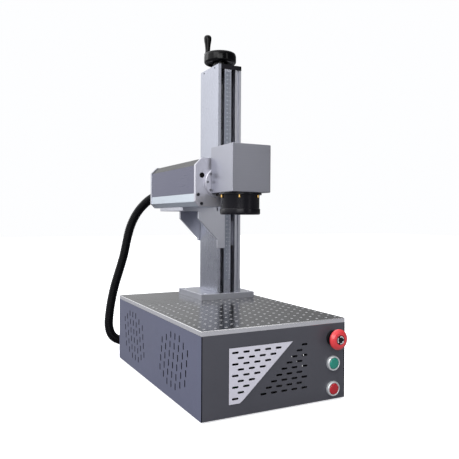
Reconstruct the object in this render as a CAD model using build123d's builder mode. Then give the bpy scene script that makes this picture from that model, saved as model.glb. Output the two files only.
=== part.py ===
"""Desktop fibre-laser marking machine: cabinet, lifting column and scan head, in millimetres.

+X is to the right seen from the front, +Y runs to the rear and +Z is up. The origin lies
on the table under the centre of the machine's bounding box.
"""

import os
from math import cos, degrees, pi, radians, sin, tan

from build123d import *

os.makedirs("parts", exist_ok=True)

# ---------------------------------------------------------------- driving dimensions
CAB_W = 310.0  # cabinet width
CAB_D = 496.0  # cabinet depth
CAB_H = 148.0  # sheet-metal height of the cabinet
SHEET = 2.0  # cabinet sheet thickness
FOOT_H = 3.0  # rubber foot height
WORKTOP_T = 9.0  # worktop plate thickness
HOLE_PITCH = 22.0  # pitch of the worktop's tapped holes
HOLE_COUNT = 14  # holes along each side of the grid
HOLE_R = 2.5  # tapping radius for M6

BASE_W = 142.0  # column base plate
BASE_D = 140.0
BASE_T = 14.0
COLUMN_W = 62.0
COLUMN_D = 101.0
COLUMN_H = 550.0
COLUMN_WALL = 4.0

BOX_SIDE = 104.0  # height and width of the beam box's end plates
BOX_LENGTH = 270.0  # beam box body between its end plates
GALVO_W = 89.0
GALVO_D = 98.0
GALVO_H = 97.0
LENS_R = 40.5  # scan lens barrel

SCREW_R = 6.0  # lead screw
SCREW_LEAD = 5.0  # rise for each turn of the handwheel
WHEEL_R = 40.0  # handwheel
CABLE_R = 12.0  # armoured fibre conduit
RUN_FIT = 0.05  # radial clearance of shafts in bores

# ---------------------------------------------------------------- places
LEFT = -CAB_W / 2
RIGHT = CAB_W / 2
FRONT = -245.5
REAR = FRONT + CAB_D
CAB_TOP = FOOT_H + CAB_H
WORK_Z = CAB_TOP + WORKTOP_T
BASE_TOP = WORK_Z + BASE_T

COL_LEFT = LEFT + 192.0
COL_RIGHT = COL_LEFT + COLUMN_W
COL_FRONT = FRONT + 330.0
COL_REAR = COL_FRONT + COLUMN_D
COL_TOP = BASE_TOP + COLUMN_H
COL_INNER_X = (COL_LEFT + COLUMN_WALL, COL_RIGHT - COLUMN_WALL)
COL_INNER_REAR = COL_REAR - COLUMN_WALL
SLOT_X = (COL_LEFT + 8.0, COL_LEFT + 17.5)  # slot left of the scale cover
COVER_X = (SLOT_X[1], SLOT_X[1] + 18.0)  # front cover that carries the scale
COVER_DEPTH = 10.0
RAIL_X = (COVER_X[1] + 11.0, COL_RIGHT)  # profile at the column's right front edge
RAIL_DEPTH = 16.0
CAP_T = 11.0  # top cap and rail cap
SCREW_X = COL_LEFT + 31.0
SCREW_Y = COL_FRONT + 53.5
ROD_R = 6.0
ROD_OFFSET = 24.0  # guide rods in front of and behind the screw

BOX_X = (LEFT + 82.0, LEFT + 82.0 + BOX_SIDE)
BOX_Z = (379.0, 379.0 + BOX_SIDE)
BOX_SKIN_X = (BOX_X[0] + 1.5, BOX_X[1] - 1.5)
BOX_SKIN_Z = (BOX_Z[0] + 1.0, BOX_Z[1] - 1.5)
TRAY_TOP = 407.0
ADAPTOR_Y = (FRONT + 213.0, FRONT + 221.0)
BOX_Y = (ADAPTOR_Y[1], ADAPTOR_Y[1] + BOX_LENGTH)
BOX_PLATE_Y = (BOX_Y[1], BOX_Y[1] + 8.0)
BEAM_X = (BOX_X[0] + BOX_X[1]) / 2
BEAM_Z = (BOX_Z[0] + BOX_Z[1]) / 2
FLANGE_R = 32.0
FLANGE_Y = (ADAPTOR_Y[0] - 7.0, ADAPTOR_Y[0])

GALVO_X = (LEFT + 114.5, LEFT + 114.5 + GALVO_W)
GALVO_Y = (FLANGE_Y[0] - GALVO_D, FLANGE_Y[0])
GALVO_Z = (407.0, 407.0 + GALVO_H)
GALVO_PLATE = 4.0
GALVO_WALL = 3.0
LENS_X = (GALVO_X[0] + GALVO_X[1]) / 2
LENS_Y = (GALVO_Y[0] + GALVO_Y[1]) / 2
MOTOR_R = 10.0
PIVOT_R = 1.5

SHELF_X = (LEFT + 95.5, LEFT + 187.0)
SHELF_Y = (FRONT + 320.0, FRONT + 465.0)
SHELF_Z = (371.0, BOX_SKIN_Z[0])
GUSSET_T = 8.0
GUSSET_LEFT = LEFT + 138.5
GUSSET_RIGHT = COL_LEFT + 15.0
GUSSET_NECK = COL_LEFT - 4.0
TONGUE_X = (SLOT_X[0] + 1.2, GUSSET_RIGHT - 0.6)
NUT_Z = (288.0, 348.0)
NUT_Y = (COL_FRONT + RAIL_DEPTH + 2.0, COL_INNER_REAR - 4.0)
COLUMN_GAP = 2.0  # air between the brackets and the column's faces

CONTROL_X = LEFT + 280.0
ESTOP_Z = 123.0
START_Z = 74.0
STOP_Z = 24.5
BUTTON_R = 11.0
FAN_Y = FRONT + 376.0
FAN_Z = 80.0
FAN_SIDE = 80.0
FAN_T = 25.0
INLET_X = LEFT + 60.0
INLET_Z = 110.0
ROCKER_X = INLET_X + 15.0
ROCKER_R = 8.0

BOX_GLAND = (LEFT + 114.0, 413.0)  # x and z of the cable's exit from the beam box
CAB_GLAND = (LEFT + 200.0, 29.0)  # x and z of its entry into the cabinet
GLAND_L = 18.0

GRIP_ANGLE = 153.5  # where the folding grip stands on the wheel, in degrees from +X
GRIP_REACH = 31.0
WHEEL_Z = (COL_TOP + 15.0, COL_TOP + 40.0)


# ---------------------------------------------------------------- small builders
def block(x, y, z, mode=Mode.ADD):
    """Add or cut the block that fills the three spans."""
    middle = [(low + high) / 2 for low, high in (x, y, z)]
    size = [high - low for low, high in (x, y, z)]
    with Locations(tuple(middle)):
        Box(*size, mode=mode)


def post(x, y, z, radius, mode=Mode.ADD):
    """Add or cut an upright cylinder over the span z."""
    with Locations((x, y, (z[0] + z[1]) / 2)):
        Cylinder(radius, z[1] - z[0], mode=mode)


def bar_y(x, z, y, radius, mode=Mode.ADD):
    """Add or cut a cylinder lying along Y over the span y."""
    with Locations((x, (y[0] + y[1]) / 2, z)):
        Cylinder(radius, y[1] - y[0], rotation=(90, 0, 0), mode=mode)


def bar_x(y, z, x, radius, mode=Mode.ADD):
    """Add or cut a cylinder lying along X over the span x."""
    with Locations(((x[0] + x[1]) / 2, y, z)):
        Cylinder(radius, x[1] - x[0], rotation=(0, 90, 0), mode=mode)


def keep(builder, name):
    """Label a finished piece and write its STEP file."""
    builder.part.label = name
    export_step(builder.part, f"parts/{name}.step")


def wall_plane(y):
    """Upright plane at y, seen from the front: x to the right, z up, extruding forward."""
    return Plane.XZ.offset(-y)


def octagon(x, z, top, bottom):
    """Corner points of an upright plate whose top and bottom corners are cut at 45 degrees."""
    return [
        (x[0] + bottom, z[0]),
        (x[1] - bottom, z[0]),
        (x[1], z[0] + bottom),
        (x[1], z[1] - top),
        (x[1] - top, z[1]),
        (x[0] + top, z[1]),
        (x[0], z[1] - top),
        (x[0], z[0] + bottom),
    ]


# ---------------------------------------------------------------- cabinet
FOOT_R = 9.0
FOOT_INSET = 32.0
with BuildPart() as rubber_feet:
    foot_centre = (0, (FRONT + REAR) / 2, FOOT_H / 2)
    with Locations(foot_centre):
        with GridLocations(CAB_W - 2 * FOOT_INSET, CAB_D - 2 * FOOT_INSET, 2, 2):
            Cylinder(FOOT_R, FOOT_H)
keep(rubber_feet, "rubber_feet")

POST_SIDE = 12.0
with BuildPart() as base_frame:
    inner_x = (LEFT + SHEET, RIGHT - SHEET)
    inner_y = (FRONT + SHEET, REAR - SHEET)
    block(inner_x, inner_y, (FOOT_H, FOOT_H + SHEET))
    for x in (inner_x[0], inner_x[1] - POST_SIDE):
        for y in (inner_y[0], inner_y[1] - POST_SIDE):
            block((x, x + POST_SIDE), (y, y + POST_SIDE), (FOOT_H, CAB_TOP))
keep(base_frame, "base_frame")

VENT_STACKS = ((1.0, 4), (0.5, 5), (0.0, 6), (0.0, 6), (0.0, 6), (0.5, 5), (1.0, 4))
VENT_PITCH_Y = 21.7
VENT_PITCH_Z = 19.2
VENT_SLOT = (4.2, 13.5)
VENT_GROUPS = ((FRONT + 131.5, 4.0), (FAN_Y, -4.0))


def vent_places(centre_y, lean):
    """Centres (y, z) of one hexagon of upright slots whose stacks move back by lean per row."""
    places = []
    for stack, (start, count) in enumerate(VENT_STACKS):
        for step in range(count):
            row = start + step - 2.5
            y = centre_y - (stack - 3) * VENT_PITCH_Y + lean * row
            places.append((y, FAN_Z - row * VENT_PITCH_Z))
    return places


def side_panel(x, inward):
    """One side panel: a sheet with two groups of vents."""
    with BuildPart() as panel:
        span = tuple(sorted((x, x + inward * SHEET)))
        block(span, (FRONT, REAR), (FOOT_H, CAB_TOP))
        with BuildSketch(Plane.YZ.offset(span[0])):
            for group in VENT_GROUPS:
                with Locations(*vent_places(*group)):
                    SlotOverall(VENT_SLOT[1], VENT_SLOT[0], rotation=90)
        extrude(amount=SHEET, mode=Mode.SUBTRACT)
    return panel


left_side_panel = side_panel(LEFT, 1)
keep(left_side_panel, "left_side_panel")
right_side_panel = side_panel(RIGHT, -1)
keep(right_side_panel, "right_side_panel")

TRIM_T = 1.2
TRIM_X = (LEFT + 53.0, LEFT + 187.0)
TRIM_Z = (26.0, 125.5)
SLOT_ROWS = 9
SLOT_PITCH_X = 22.5
SLOT_PITCH_Z = 10.25
SLOT_SIZE = (13.0, 3.8)
SLOT_TOP_Z = 117.0
PALE_X = LEFT + 65.5
DARK_X = LEFT + 214.3
PALE_COUNTS = (5, 4, 4, 3, 3, 2, 2, 1, 1)
DARK_COUNTS = tuple(reversed(PALE_COUNTS))


def slot_places(start_x, counts, step):
    """Centres (x, z) of the front slots, each odd row moved on by half a pitch."""
    places = []
    for row, count in enumerate(counts):
        shift = step * SLOT_PITCH_X / 2 if row % 2 else 0.0
        z = SLOT_TOP_Z - row * SLOT_PITCH_Z
        for column in range(count):
            places.append((start_x + shift + step * column * SLOT_PITCH_X, z))
    return places


pale_slots = slot_places(PALE_X, PALE_COUNTS, 1)
dark_slots = slot_places(DARK_X, DARK_COUNTS, -1)

with BuildPart() as front_panel:
    block((LEFT + SHEET, RIGHT - SHEET), (FRONT, FRONT + SHEET), (FOOT_H, CAB_TOP))
    with BuildSketch(wall_plane(FRONT + SHEET)):
        with Locations(*pale_slots, *dark_slots):
            SlotOverall(*SLOT_SIZE)
        with Locations((CONTROL_X, START_Z), (CONTROL_X, STOP_Z), (CONTROL_X, ESTOP_Z)):
            Circle(BUTTON_R)
    extrude(amount=SHEET, mode=Mode.SUBTRACT)
keep(front_panel, "front_panel")

with BuildPart() as vent_trim:
    with BuildSketch(wall_plane(FRONT)):
        with BuildLine():
            Polyline(
                (TRIM_X[0], TRIM_Z[1]),
                (TRIM_X[1], TRIM_Z[1]),
                (TRIM_X[0] + 28.0, TRIM_Z[0] + 4.0),
                (TRIM_X[0] + 22.0, TRIM_Z[0]),
                (TRIM_X[0], TRIM_Z[0]),
                close=True,
            )
        make_face()
        with Locations(*pale_slots):
            SlotOverall(*SLOT_SIZE, mode=Mode.SUBTRACT)
    extrude(amount=TRIM_T)
keep(vent_trim, "vent_trim")

INLET_BODY = (48.0, 28.0)
with BuildPart() as rear_panel:
    block((LEFT + SHEET, RIGHT - SHEET), (REAR - SHEET, REAR), (FOOT_H, CAB_TOP))
    inlet_x = (INLET_X - INLET_BODY[0] / 2, INLET_X + INLET_BODY[0] / 2)
    inlet_z = (INLET_Z - INLET_BODY[1] / 2, INLET_Z + INLET_BODY[1] / 2)
    block(inlet_x, (REAR - SHEET, REAR), inlet_z, Mode.SUBTRACT)
    with BuildSketch(wall_plane(REAR)):
        with Locations((RIGHT - 90.0, 80.0)):
            with GridLocations(12.0, 16.0, 7, 5):
                SlotOverall(11.0, 3.0, rotation=90)
    extrude(amount=SHEET, mode=Mode.SUBTRACT)
keep(rear_panel, "rear_panel")

with BuildPart() as worktop_plate:
    block((LEFT, RIGHT), (FRONT, REAR), (CAB_TOP, WORK_Z))
    top_rim = worktop_plate.faces().sort_by(Axis.Z)[-1].edges()
    chamfer(top_rim, 0.6)
    grid_y = FRONT + 16.0 + (HOLE_COUNT - 1) * HOLE_PITCH / 2
    with Locations((0, grid_y, WORK_Z)):
        with GridLocations(HOLE_PITCH, HOLE_PITCH, HOLE_COUNT, HOLE_COUNT):
            Hole(HOLE_R, WORKTOP_T)
keep(worktop_plate, "worktop_plate")

# ---------------------------------------------------------------- controls
ESTOP_COLLAR_R = 15.0
ESTOP_HEAD_R = 20.0
ESTOP_FACE = FRONT - 26.0
ESTOP_STEM_R = 5.0
ESTOP_TRAVEL = 5.0
BEZEL_R = 14.5
BEZEL_L = 7.0
CAP_R = 11.2
BUTTON_TRAVEL = 3.0

with BuildPart() as estop_collar:
    bar_y(CONTROL_X, ESTOP_Z, (FRONT - 5.0, FRONT), ESTOP_COLLAR_R)
    bar_y(CONTROL_X, ESTOP_Z, (FRONT, FRONT + 14.0), BUTTON_R)
    bar_y(CONTROL_X, ESTOP_Z, (FRONT - 5.0, FRONT + 14.0), ESTOP_STEM_R + 0.5, Mode.SUBTRACT)
keep(estop_collar, "estop_collar")

with BuildPart() as estop_stem:
    bar_y(CONTROL_X, ESTOP_Z, (ESTOP_FACE + 5.0, FRONT + 18.0), ESTOP_STEM_R)
keep(estop_stem, "estop_stem")

with BuildPart() as estop_head:
    with BuildSketch(Plane.XZ) as head_profile:
        with BuildLine():
            Polyline((0, 14.0), (0, 0), (ESTOP_HEAD_R - 6.0, 0))
            RadiusArc((ESTOP_HEAD_R - 6.0, 0), (ESTOP_HEAD_R, 6.0), -6.0)
            Polyline((ESTOP_HEAD_R, 6.0), (ESTOP_HEAD_R, 9.0), (ESTOP_HEAD_R - 5.0, 13.0))
            Polyline((ESTOP_HEAD_R - 5.0, 13.0), (10.0, 14.0), (0, 14.0))
        make_face()
    revolve(axis=Axis.Z)
    post(0, 0, (4.7, 14.0), ESTOP_STEM_R + RUN_FIT, Mode.SUBTRACT)
estop_head.part = estop_head.part.moved(
    Location((CONTROL_X, ESTOP_FACE, ESTOP_Z), (-90, 0, 0))
)
keep(estop_head, "estop_head")

with BuildPart() as button_bezels:
    for z in (START_Z, STOP_Z):
        bar_y(CONTROL_X, z, (FRONT - BEZEL_L, FRONT), BEZEL_R)
        bar_y(CONTROL_X, z, (FRONT, FRONT + 14.0), BUTTON_R)
    chamfer(button_bezels.faces().sort_by(Axis.Y)[:2].edges(), 1.2)
    for z in (START_Z, STOP_Z):
        bar_y(CONTROL_X, z, (FRONT - BEZEL_L, FRONT), CAP_R + 0.4, Mode.SUBTRACT)
        bar_y(CONTROL_X, z, (FRONT, FRONT + 14.0), BUTTON_R - 1.5, Mode.SUBTRACT)
keep(button_bezels, "button_bezels")


def push_button(z):
    """Round cap that slides in its bezel on a narrower plunger."""
    with BuildPart() as cap:
        bar_y(CONTROL_X, z, (FRONT - BEZEL_L - 1.5, FRONT - BUTTON_TRAVEL - 0.5), CAP_R)
        chamfer(cap.faces().sort_by(Axis.Y)[0].edges(), 1.0)
        bar_y(CONTROL_X, z, (FRONT - BUTTON_TRAVEL - 0.5, FRONT + 16.0), BUTTON_R - 2.0)
    return cap


start_button = push_button(START_Z)
keep(start_button, "start_button")
stop_button = push_button(STOP_Z)
keep(stop_button, "stop_button")

CONTACT_Y = (FRONT + 24.0, FRONT + 44.0)
with BuildPart() as contact_blocks:
    for z in (ESTOP_Z, START_Z, STOP_Z):
        block((CONTROL_X - 14.0, CONTROL_X + 14.0), CONTACT_Y, (z - 11.0, z + 11.0))
        block((CONTROL_X - 14.0, CONTROL_X - 12.0), (FRONT + SHEET, CONTACT_Y[0]), (z - 8.0, z + 8.0))
        block((CONTROL_X + 12.0, CONTROL_X + 14.0), (FRONT + SHEET, CONTACT_Y[0]), (z - 8.0, z + 8.0))
keep(contact_blocks, "contact_blocks")

# ---------------------------------------------------------------- rear inlet and its switch
INLET_RIM = 3.0
POCKET_R = ROCKER_R + 0.6
with BuildPart() as power_inlet:
    block(inlet_x, (REAR - 20.0, REAR), inlet_z)
    rim_x = (inlet_x[0] - INLET_RIM, inlet_x[1] + INLET_RIM)
    rim_z = (inlet_z[0] - INLET_RIM, inlet_z[1] + INLET_RIM)
    block(rim_x, (REAR, REAR + 2.5), rim_z)
    block((INLET_X - 21.0, INLET_X + 2.0), (REAR - 14.0, REAR + 2.5), (INLET_Z - 8.0, INLET_Z + 8.0), Mode.SUBTRACT)
    pocket_x = (ROCKER_X - 6.6, ROCKER_X + 6.6)
    bar_x(REAR - 3.0, INLET_Z, pocket_x, POCKET_R, Mode.SUBTRACT)
    block(pocket_x, (REAR - 3.0, REAR + 2.5), (INLET_Z - POCKET_R, INLET_Z + POCKET_R), Mode.SUBTRACT)
    for x in (INLET_X - 16.0, INLET_X - 9.5, INLET_X - 3.0):
        block((x - 1.0, x + 1.0), (REAR - 14.0, REAR - 4.0), (INLET_Z - 3.0, INLET_Z + 3.0))
keep(power_inlet, "power_inlet")

with BuildPart() as power_rocker:
    bar_x(REAR - 3.0, INLET_Z, (ROCKER_X - 6.0, ROCKER_X + 6.0), ROCKER_R)
    with BuildSketch(Plane.YZ.offset(ROCKER_X - 7.0)):
        with BuildLine():
            Polyline(
                (REAR + 1.5, INLET_Z),
                (REAR + 4.0, INLET_Z + 9.0),
                (REAR + 8.0, INLET_Z + 9.0),
                (REAR + 8.0, INLET_Z - 9.0),
                (REAR + 4.0, INLET_Z - 9.0),
                close=True,
            )
        make_face()
    extrude(amount=14.0, mode=Mode.SUBTRACT)
keep(power_rocker, "power_rocker")

# ---------------------------------------------------------------- inside the cabinet
FLOOR_Z = FOOT_H + SHEET
with BuildPart() as laser_source:
    source_x = (LEFT + 95.0, RIGHT - 15.0)
    source_y = (FRONT + 246.0, REAR - 12.0)
    block(source_x, source_y, (FLOOR_Z, FLOOR_Z + 78.0))
    fins = 18
    fin_step = (source_x[1] - source_x[0] - 4.0) / (fins - 1)
    for fin in range(fins):
        x = source_x[0] + fin * fin_step
        block((x, x + 4.0), source_y, (FLOOR_Z + 78.0, FLOOR_Z + 92.0))
    fibre_port = (source_x[0] + 20.0, FLOOR_Z + 40.0)
    bar_y(*fibre_port, (source_y[0] - 12.0, source_y[0]), 8.0)
keep(laser_source, "laser_source")

with BuildPart() as power_supply:
    block((LEFT + 7.0, LEFT + 89.0), (FRONT + 216.0, FRONT + 376.0), (FLOOR_Z, FLOOR_Z + 30.0))
    block((LEFT + 12.0, LEFT + 84.0), (FRONT + 206.0, FRONT + 216.0), (FLOOR_Z, FLOOR_Z + 14.0))
keep(power_supply, "power_supply")

BOARD_Z = FLOOR_Z + 12.0
with BuildPart() as control_board:
    board_x = (LEFT + 20.0, LEFT + 170.0)
    board_y = (FRONT + 50.0, FRONT + 150.0)
    block(board_x, board_y, (BOARD_Z, BOARD_Z + 1.6))
    for x in (board_x[0] + 6.0, board_x[1] - 6.0):
        for y in (board_y[0] + 6.0, board_y[1] - 6.0):
            post(x, y, (FLOOR_Z, BOARD_Z), 3.0)
    chip_sizes = ((30.0, 30.0, 3.0), (18.0, 24.0, 3.0), (14.0, 40.0, 11.0), (12.0, 60.0, 12.0))
    chip_x = board_x[0] + 24.0
    for width, depth, height in chip_sizes:
        chip_y = (board_y[0] + board_y[1]) / 2
        y_span = (chip_y - depth / 2, chip_y + depth / 2)
        block((chip_x, chip_x + width), y_span, (BOARD_Z + 1.6, BOARD_Z + 1.6 + height))
        chip_x += width + 9.0
keep(control_board, "control_board")

FAN_X = (LEFT + SHEET, LEFT + SHEET + FAN_T)
FAN_BORE_R = 38.0
FAN_HUB_R = 15.0
FAN_BLADES = 7
with BuildPart() as fan_frame:
    half = FAN_SIDE / 2
    block(FAN_X, (FAN_Y - half, FAN_Y + half), (FAN_Z - half, FAN_Z + half))
    bar_x(FAN_Y, FAN_Z, FAN_X, FAN_BORE_R, Mode.SUBTRACT)
    strut_x = (FAN_X[1] - 3.0, FAN_X[1])
    block(strut_x, (FAN_Y - half, FAN_Y + half), (FAN_Z - 3.0, FAN_Z + 3.0))
    block(strut_x, (FAN_Y - 3.0, FAN_Y + 3.0), (FAN_Z - half, FAN_Z + half))
    bar_x(FAN_Y, FAN_Z, strut_x, FAN_HUB_R)
    bar_x(FAN_Y, FAN_Z, (FAN_X[0] + 6.0, strut_x[0]), 3.0)
keep(fan_frame, "fan_frame")

ROTOR_X = (FAN_X[0] + 2.5, strut_x[0] - 1.0)
with BuildPart() as fan_rotor:
    bar_x(FAN_Y, FAN_Z, ROTOR_X, FAN_HUB_R)
    with BuildSketch(Plane.YZ.offset(ROTOR_X[0] + 1.0)):
        with Locations((FAN_Y, FAN_Z)):
            with PolarLocations((FAN_HUB_R + FAN_BORE_R) / 2 - 1.5, FAN_BLADES):
                Rectangle(FAN_BORE_R - FAN_HUB_R - 1.0, 3.0)
    extrude(amount=ROTOR_X[1] - ROTOR_X[0] - 2.0)
    bar_x(FAN_Y, FAN_Z, (ROTOR_X[0] + 3.0, ROTOR_X[1]), 3.0 + RUN_FIT, Mode.SUBTRACT)
keep(fan_rotor, "fan_rotor")

# ---------------------------------------------------------------- column
BASE_X = (LEFT + 147.0, LEFT + 147.0 + BASE_W)
BASE_Y = (FRONT + 322.0, FRONT + 322.0 + BASE_D)
BEARING_R = 13.0
BEARING_L = 8.0
with BuildPart() as column_base_plate:
    block(BASE_X, BASE_Y, (WORK_Z, BASE_TOP))
    chamfer(column_base_plate.faces().sort_by(Axis.Z)[-1].edges(), 0.8)
    for y in (SCREW_Y - ROD_OFFSET, SCREW_Y + ROD_OFFSET):
        post(SCREW_X, y, (BASE_TOP - 6.0, BASE_TOP), ROD_R, Mode.SUBTRACT)
    post(SCREW_X, SCREW_Y, (BASE_TOP - 10.0, BASE_TOP), BEARING_R, Mode.SUBTRACT)
    base_middle = ((BASE_X[0] + BASE_X[1]) / 2, (BASE_Y[0] + BASE_Y[1]) / 2, BASE_TOP)
    with Locations(base_middle):
        with GridLocations(BASE_W - 24.0, BASE_D - 24.0, 2, 2):
            CounterBoreHole(3.3, 5.5, 6.5, BASE_T)
keep(column_base_plate, "column_base_plate")

with BuildPart() as base_plate_screws:
    with Locations((*base_middle[:2], BASE_TOP - 3.5)):
        with GridLocations(BASE_W - 24.0, BASE_D - 24.0, 2, 2):
            Cylinder(5.0, 6.0)
            with Locations((0, 0, -3.0 - 3.75)):
                Cylinder(3.0, 7.5)
            with Locations((0, 0, 1.5)):
                Cylinder(2.4, 3.0, mode=Mode.SUBTRACT)
keep(base_plate_screws, "base_plate_screws")

with BuildPart() as column_housing:
    z_span = (BASE_TOP, COL_TOP)
    block((COL_LEFT, COL_RIGHT), (COL_FRONT, COL_REAR), z_span)
    inner_y = (COL_FRONT + COLUMN_WALL, COL_INNER_REAR)
    block(COL_INNER_X, inner_y, z_span, Mode.SUBTRACT)
    mouth_y = (COL_FRONT, COL_FRONT + COLUMN_WALL)
    block((SLOT_X[0], RAIL_X[0]), mouth_y, z_span, Mode.SUBTRACT)
    block(RAIL_X, (COL_FRONT, COL_FRONT + RAIL_DEPTH), z_span, Mode.SUBTRACT)
    rear_slot_z = (BASE_TOP + 8.0, COL_TOP - CAP_T)
    block(SLOT_X, (COL_INNER_REAR, COL_REAR), rear_slot_z, Mode.SUBTRACT)
keep(column_housing, "column_housing")

with BuildPart() as right_rail:
    rail_z = (BASE_TOP, COL_TOP - CAP_T + 0.5)
    rail_y = (COL_FRONT, COL_FRONT + RAIL_DEPTH)
    block(RAIL_X, rail_y, rail_z)
    groove_x = (RAIL_X[0] + 5.0, RAIL_X[0] + 9.5)
    block(groove_x, (COL_FRONT, COL_FRONT + 3.5), rail_z, Mode.SUBTRACT)
    block((groove_x[0] - 2.0, groove_x[1] + 2.0), (COL_FRONT + 1.8, COL_FRONT + 3.5), rail_z, Mode.SUBTRACT)
    side_y = (COL_FRONT + 6.0, COL_FRONT + 10.0)
    block((RAIL_X[1] - 2.0, RAIL_X[1]), side_y, rail_z, Mode.SUBTRACT)
keep(right_rail, "right_rail")

with BuildPart() as rail_cap:
    cap_z = (rail_z[1], COL_TOP + 0.5)
    block((RAIL_X[0] - 0.3, RAIL_X[1] + 0.5), (COL_FRONT - 0.5, rail_y[1]), cap_z)
    chamfer(rail_cap.faces().sort_by(Axis.Z)[-1].edges(), 0.8)
keep(rail_cap, "rail_cap")

COVER_Z = (BASE_TOP, COL_TOP - CAP_T)
with BuildPart() as ruler_cover:
    block(COVER_X, (COL_FRONT, COL_FRONT + COVER_DEPTH), COVER_Z)
    hollow_x = (COVER_X[0] + 2.5, COVER_X[1] - 2.5)
    block(hollow_x, (COL_FRONT + 3.0, COL_FRONT + COVER_DEPTH), COVER_Z, Mode.SUBTRACT)
keep(ruler_cover, "ruler_cover")

SCALE_T = 0.6
with BuildPart() as ruler_scale:
    scale_x = (COVER_X[0] + 1.0, COVER_X[1] - 1.0)
    block(scale_x, (COL_FRONT - SCALE_T, COL_FRONT), (BASE_TOP + 31.0, COVER_Z[1] - 6.0))
keep(ruler_scale, "ruler_scale")

with BuildPart() as column_top_cap:
    cap_span = (COL_TOP - CAP_T, COL_TOP)
    shoulder_y = COL_FRONT + RAIL_DEPTH
    block((SLOT_X[0], RAIL_X[0] - 0.3), (COL_FRONT + 0.5, shoulder_y), cap_span)
    block(COL_INNER_X, (shoulder_y, COL_INNER_REAR), cap_span)
    post(SCREW_X, SCREW_Y, cap_span, BEARING_R, Mode.SUBTRACT)
    for y in (SCREW_Y - ROD_OFFSET, SCREW_Y + ROD_OFFSET):
        post(SCREW_X, y, (cap_span[0], cap_span[0] + 6.0), ROD_R, Mode.SUBTRACT)
keep(column_top_cap, "column_top_cap")

TIP_R = 5.0
LOWER_BEARING_Z = (BASE_TOP - 10.0, BASE_TOP - 10.0 + BEARING_L)
UPPER_BEARING_Z = (COL_TOP - 9.0, COL_TOP - 9.0 + BEARING_L)
with BuildPart() as screw_bearings:
    for span in (LOWER_BEARING_Z, UPPER_BEARING_Z):
        post(SCREW_X, SCREW_Y, span, BEARING_R)
    for span in (LOWER_BEARING_Z, UPPER_BEARING_Z):
        post(SCREW_X, SCREW_Y, span, TIP_R + RUN_FIT, Mode.SUBTRACT)
keep(screw_bearings, "screw_bearings")

with BuildPart() as guide_rods:
    for y in (SCREW_Y - ROD_OFFSET, SCREW_Y + ROD_OFFSET):
        post(SCREW_X, y, (BASE_TOP - 6.0, COL_TOP - CAP_T + 6.0), ROD_R)
keep(guide_rods, "guide_rods")

with BuildPart() as foot_bracket:
    foot_x = (COL_RIGHT, COL_RIGHT + 28.0)
    foot_y = (COL_FRONT + 50.0, COL_FRONT + 58.0)
    with BuildSketch(wall_plane(foot_y[1])):
        with BuildLine():
            Polyline(
                (foot_x[0], BASE_TOP),
                (foot_x[1], BASE_TOP),
                (foot_x[1], BASE_TOP + 22.0),
                (foot_x[1] - 6.0, BASE_TOP + 42.0),
                (foot_x[0], BASE_TOP + 60.0),
                close=True,
            )
        make_face()
    extrude(amount=foot_y[1] - foot_y[0])
keep(foot_bracket, "foot_bracket")

# ---------------------------------------------------------------- lead screw and handwheel
with BuildPart() as lead_screw:
    post(SCREW_X, SCREW_Y, (LOWER_BEARING_Z[0], LOWER_BEARING_Z[1] + 0.5), TIP_R)
    post(SCREW_X, SCREW_Y, (LOWER_BEARING_Z[1] + 0.5, UPPER_BEARING_Z[0] - 0.5), SCREW_R)
    post(SCREW_X, SCREW_Y, (UPPER_BEARING_Z[0] - 0.5, WHEEL_Z[0] + 6.0), TIP_R)
keep(lead_screw, "lead_screw")

HUB_R = 17.0
grip_x = SCREW_X + GRIP_REACH * cos(radians(GRIP_ANGLE))
grip_y = SCREW_Y + GRIP_REACH * sin(radians(GRIP_ANGLE))
GRIP_PIN_R = 4.0
GRIP_TOP = WHEEL_Z[1] + 46.0
with BuildPart() as handwheel:
    with BuildSketch(Plane.XZ):
        with BuildLine():
            Polyline(
                (TIP_R, COL_TOP + 1.0),
                (HUB_R, COL_TOP + 1.0),
                (HUB_R, WHEEL_Z[0] + 6.0),
                (WHEEL_R - 9.0, WHEEL_Z[0] + 6.0),
                (WHEEL_R - 5.0, WHEEL_Z[0]),
                (WHEEL_R - 2.5, WHEEL_Z[0]),
                (WHEEL_R, WHEEL_Z[0] + 2.5),
                (WHEEL_R, WHEEL_Z[1] - 4.0),
                (WHEEL_R - 4.0, WHEEL_Z[1]),
                (0, WHEEL_Z[1]),
                (0, WHEEL_Z[0] + 6.0),
                (TIP_R, WHEEL_Z[0] + 6.0),
                close=True,
            )
        make_face()
    revolve(axis=Axis.Z)
handwheel.part = handwheel.part.moved(Location((SCREW_X, SCREW_Y, 0)))
with BuildPart() as handwheel_with_pin:
    add(handwheel.part)
    post(grip_x, grip_y, (WHEEL_Z[1], GRIP_TOP - 14.0), GRIP_PIN_R)
keep(handwheel_with_pin, "handwheel")

with BuildPart() as wheel_grip:
    with BuildSketch(Plane.XZ):
        with BuildLine():
            grip_foot = WHEEL_Z[1] + 0.5
            Polyline((0, GRIP_TOP), (0, grip_foot), (6.6, grip_foot))
            Spline((6.6, grip_foot), (8.2, grip_foot + 18.0), (9.6, GRIP_TOP - 8.0))
            RadiusArc((9.6, GRIP_TOP - 8.0), (3.0, GRIP_TOP), -9.0)
            Line((3.0, GRIP_TOP), (0, GRIP_TOP))
        make_face()
    revolve(axis=Axis.Z)
    post(0, 0, (grip_foot, GRIP_TOP - 13.0), GRIP_PIN_R + RUN_FIT, Mode.SUBTRACT)
wheel_grip.part = wheel_grip.part.moved(Location((grip_x, grip_y, 0)))
keep(wheel_grip, "wheel_grip")

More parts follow.
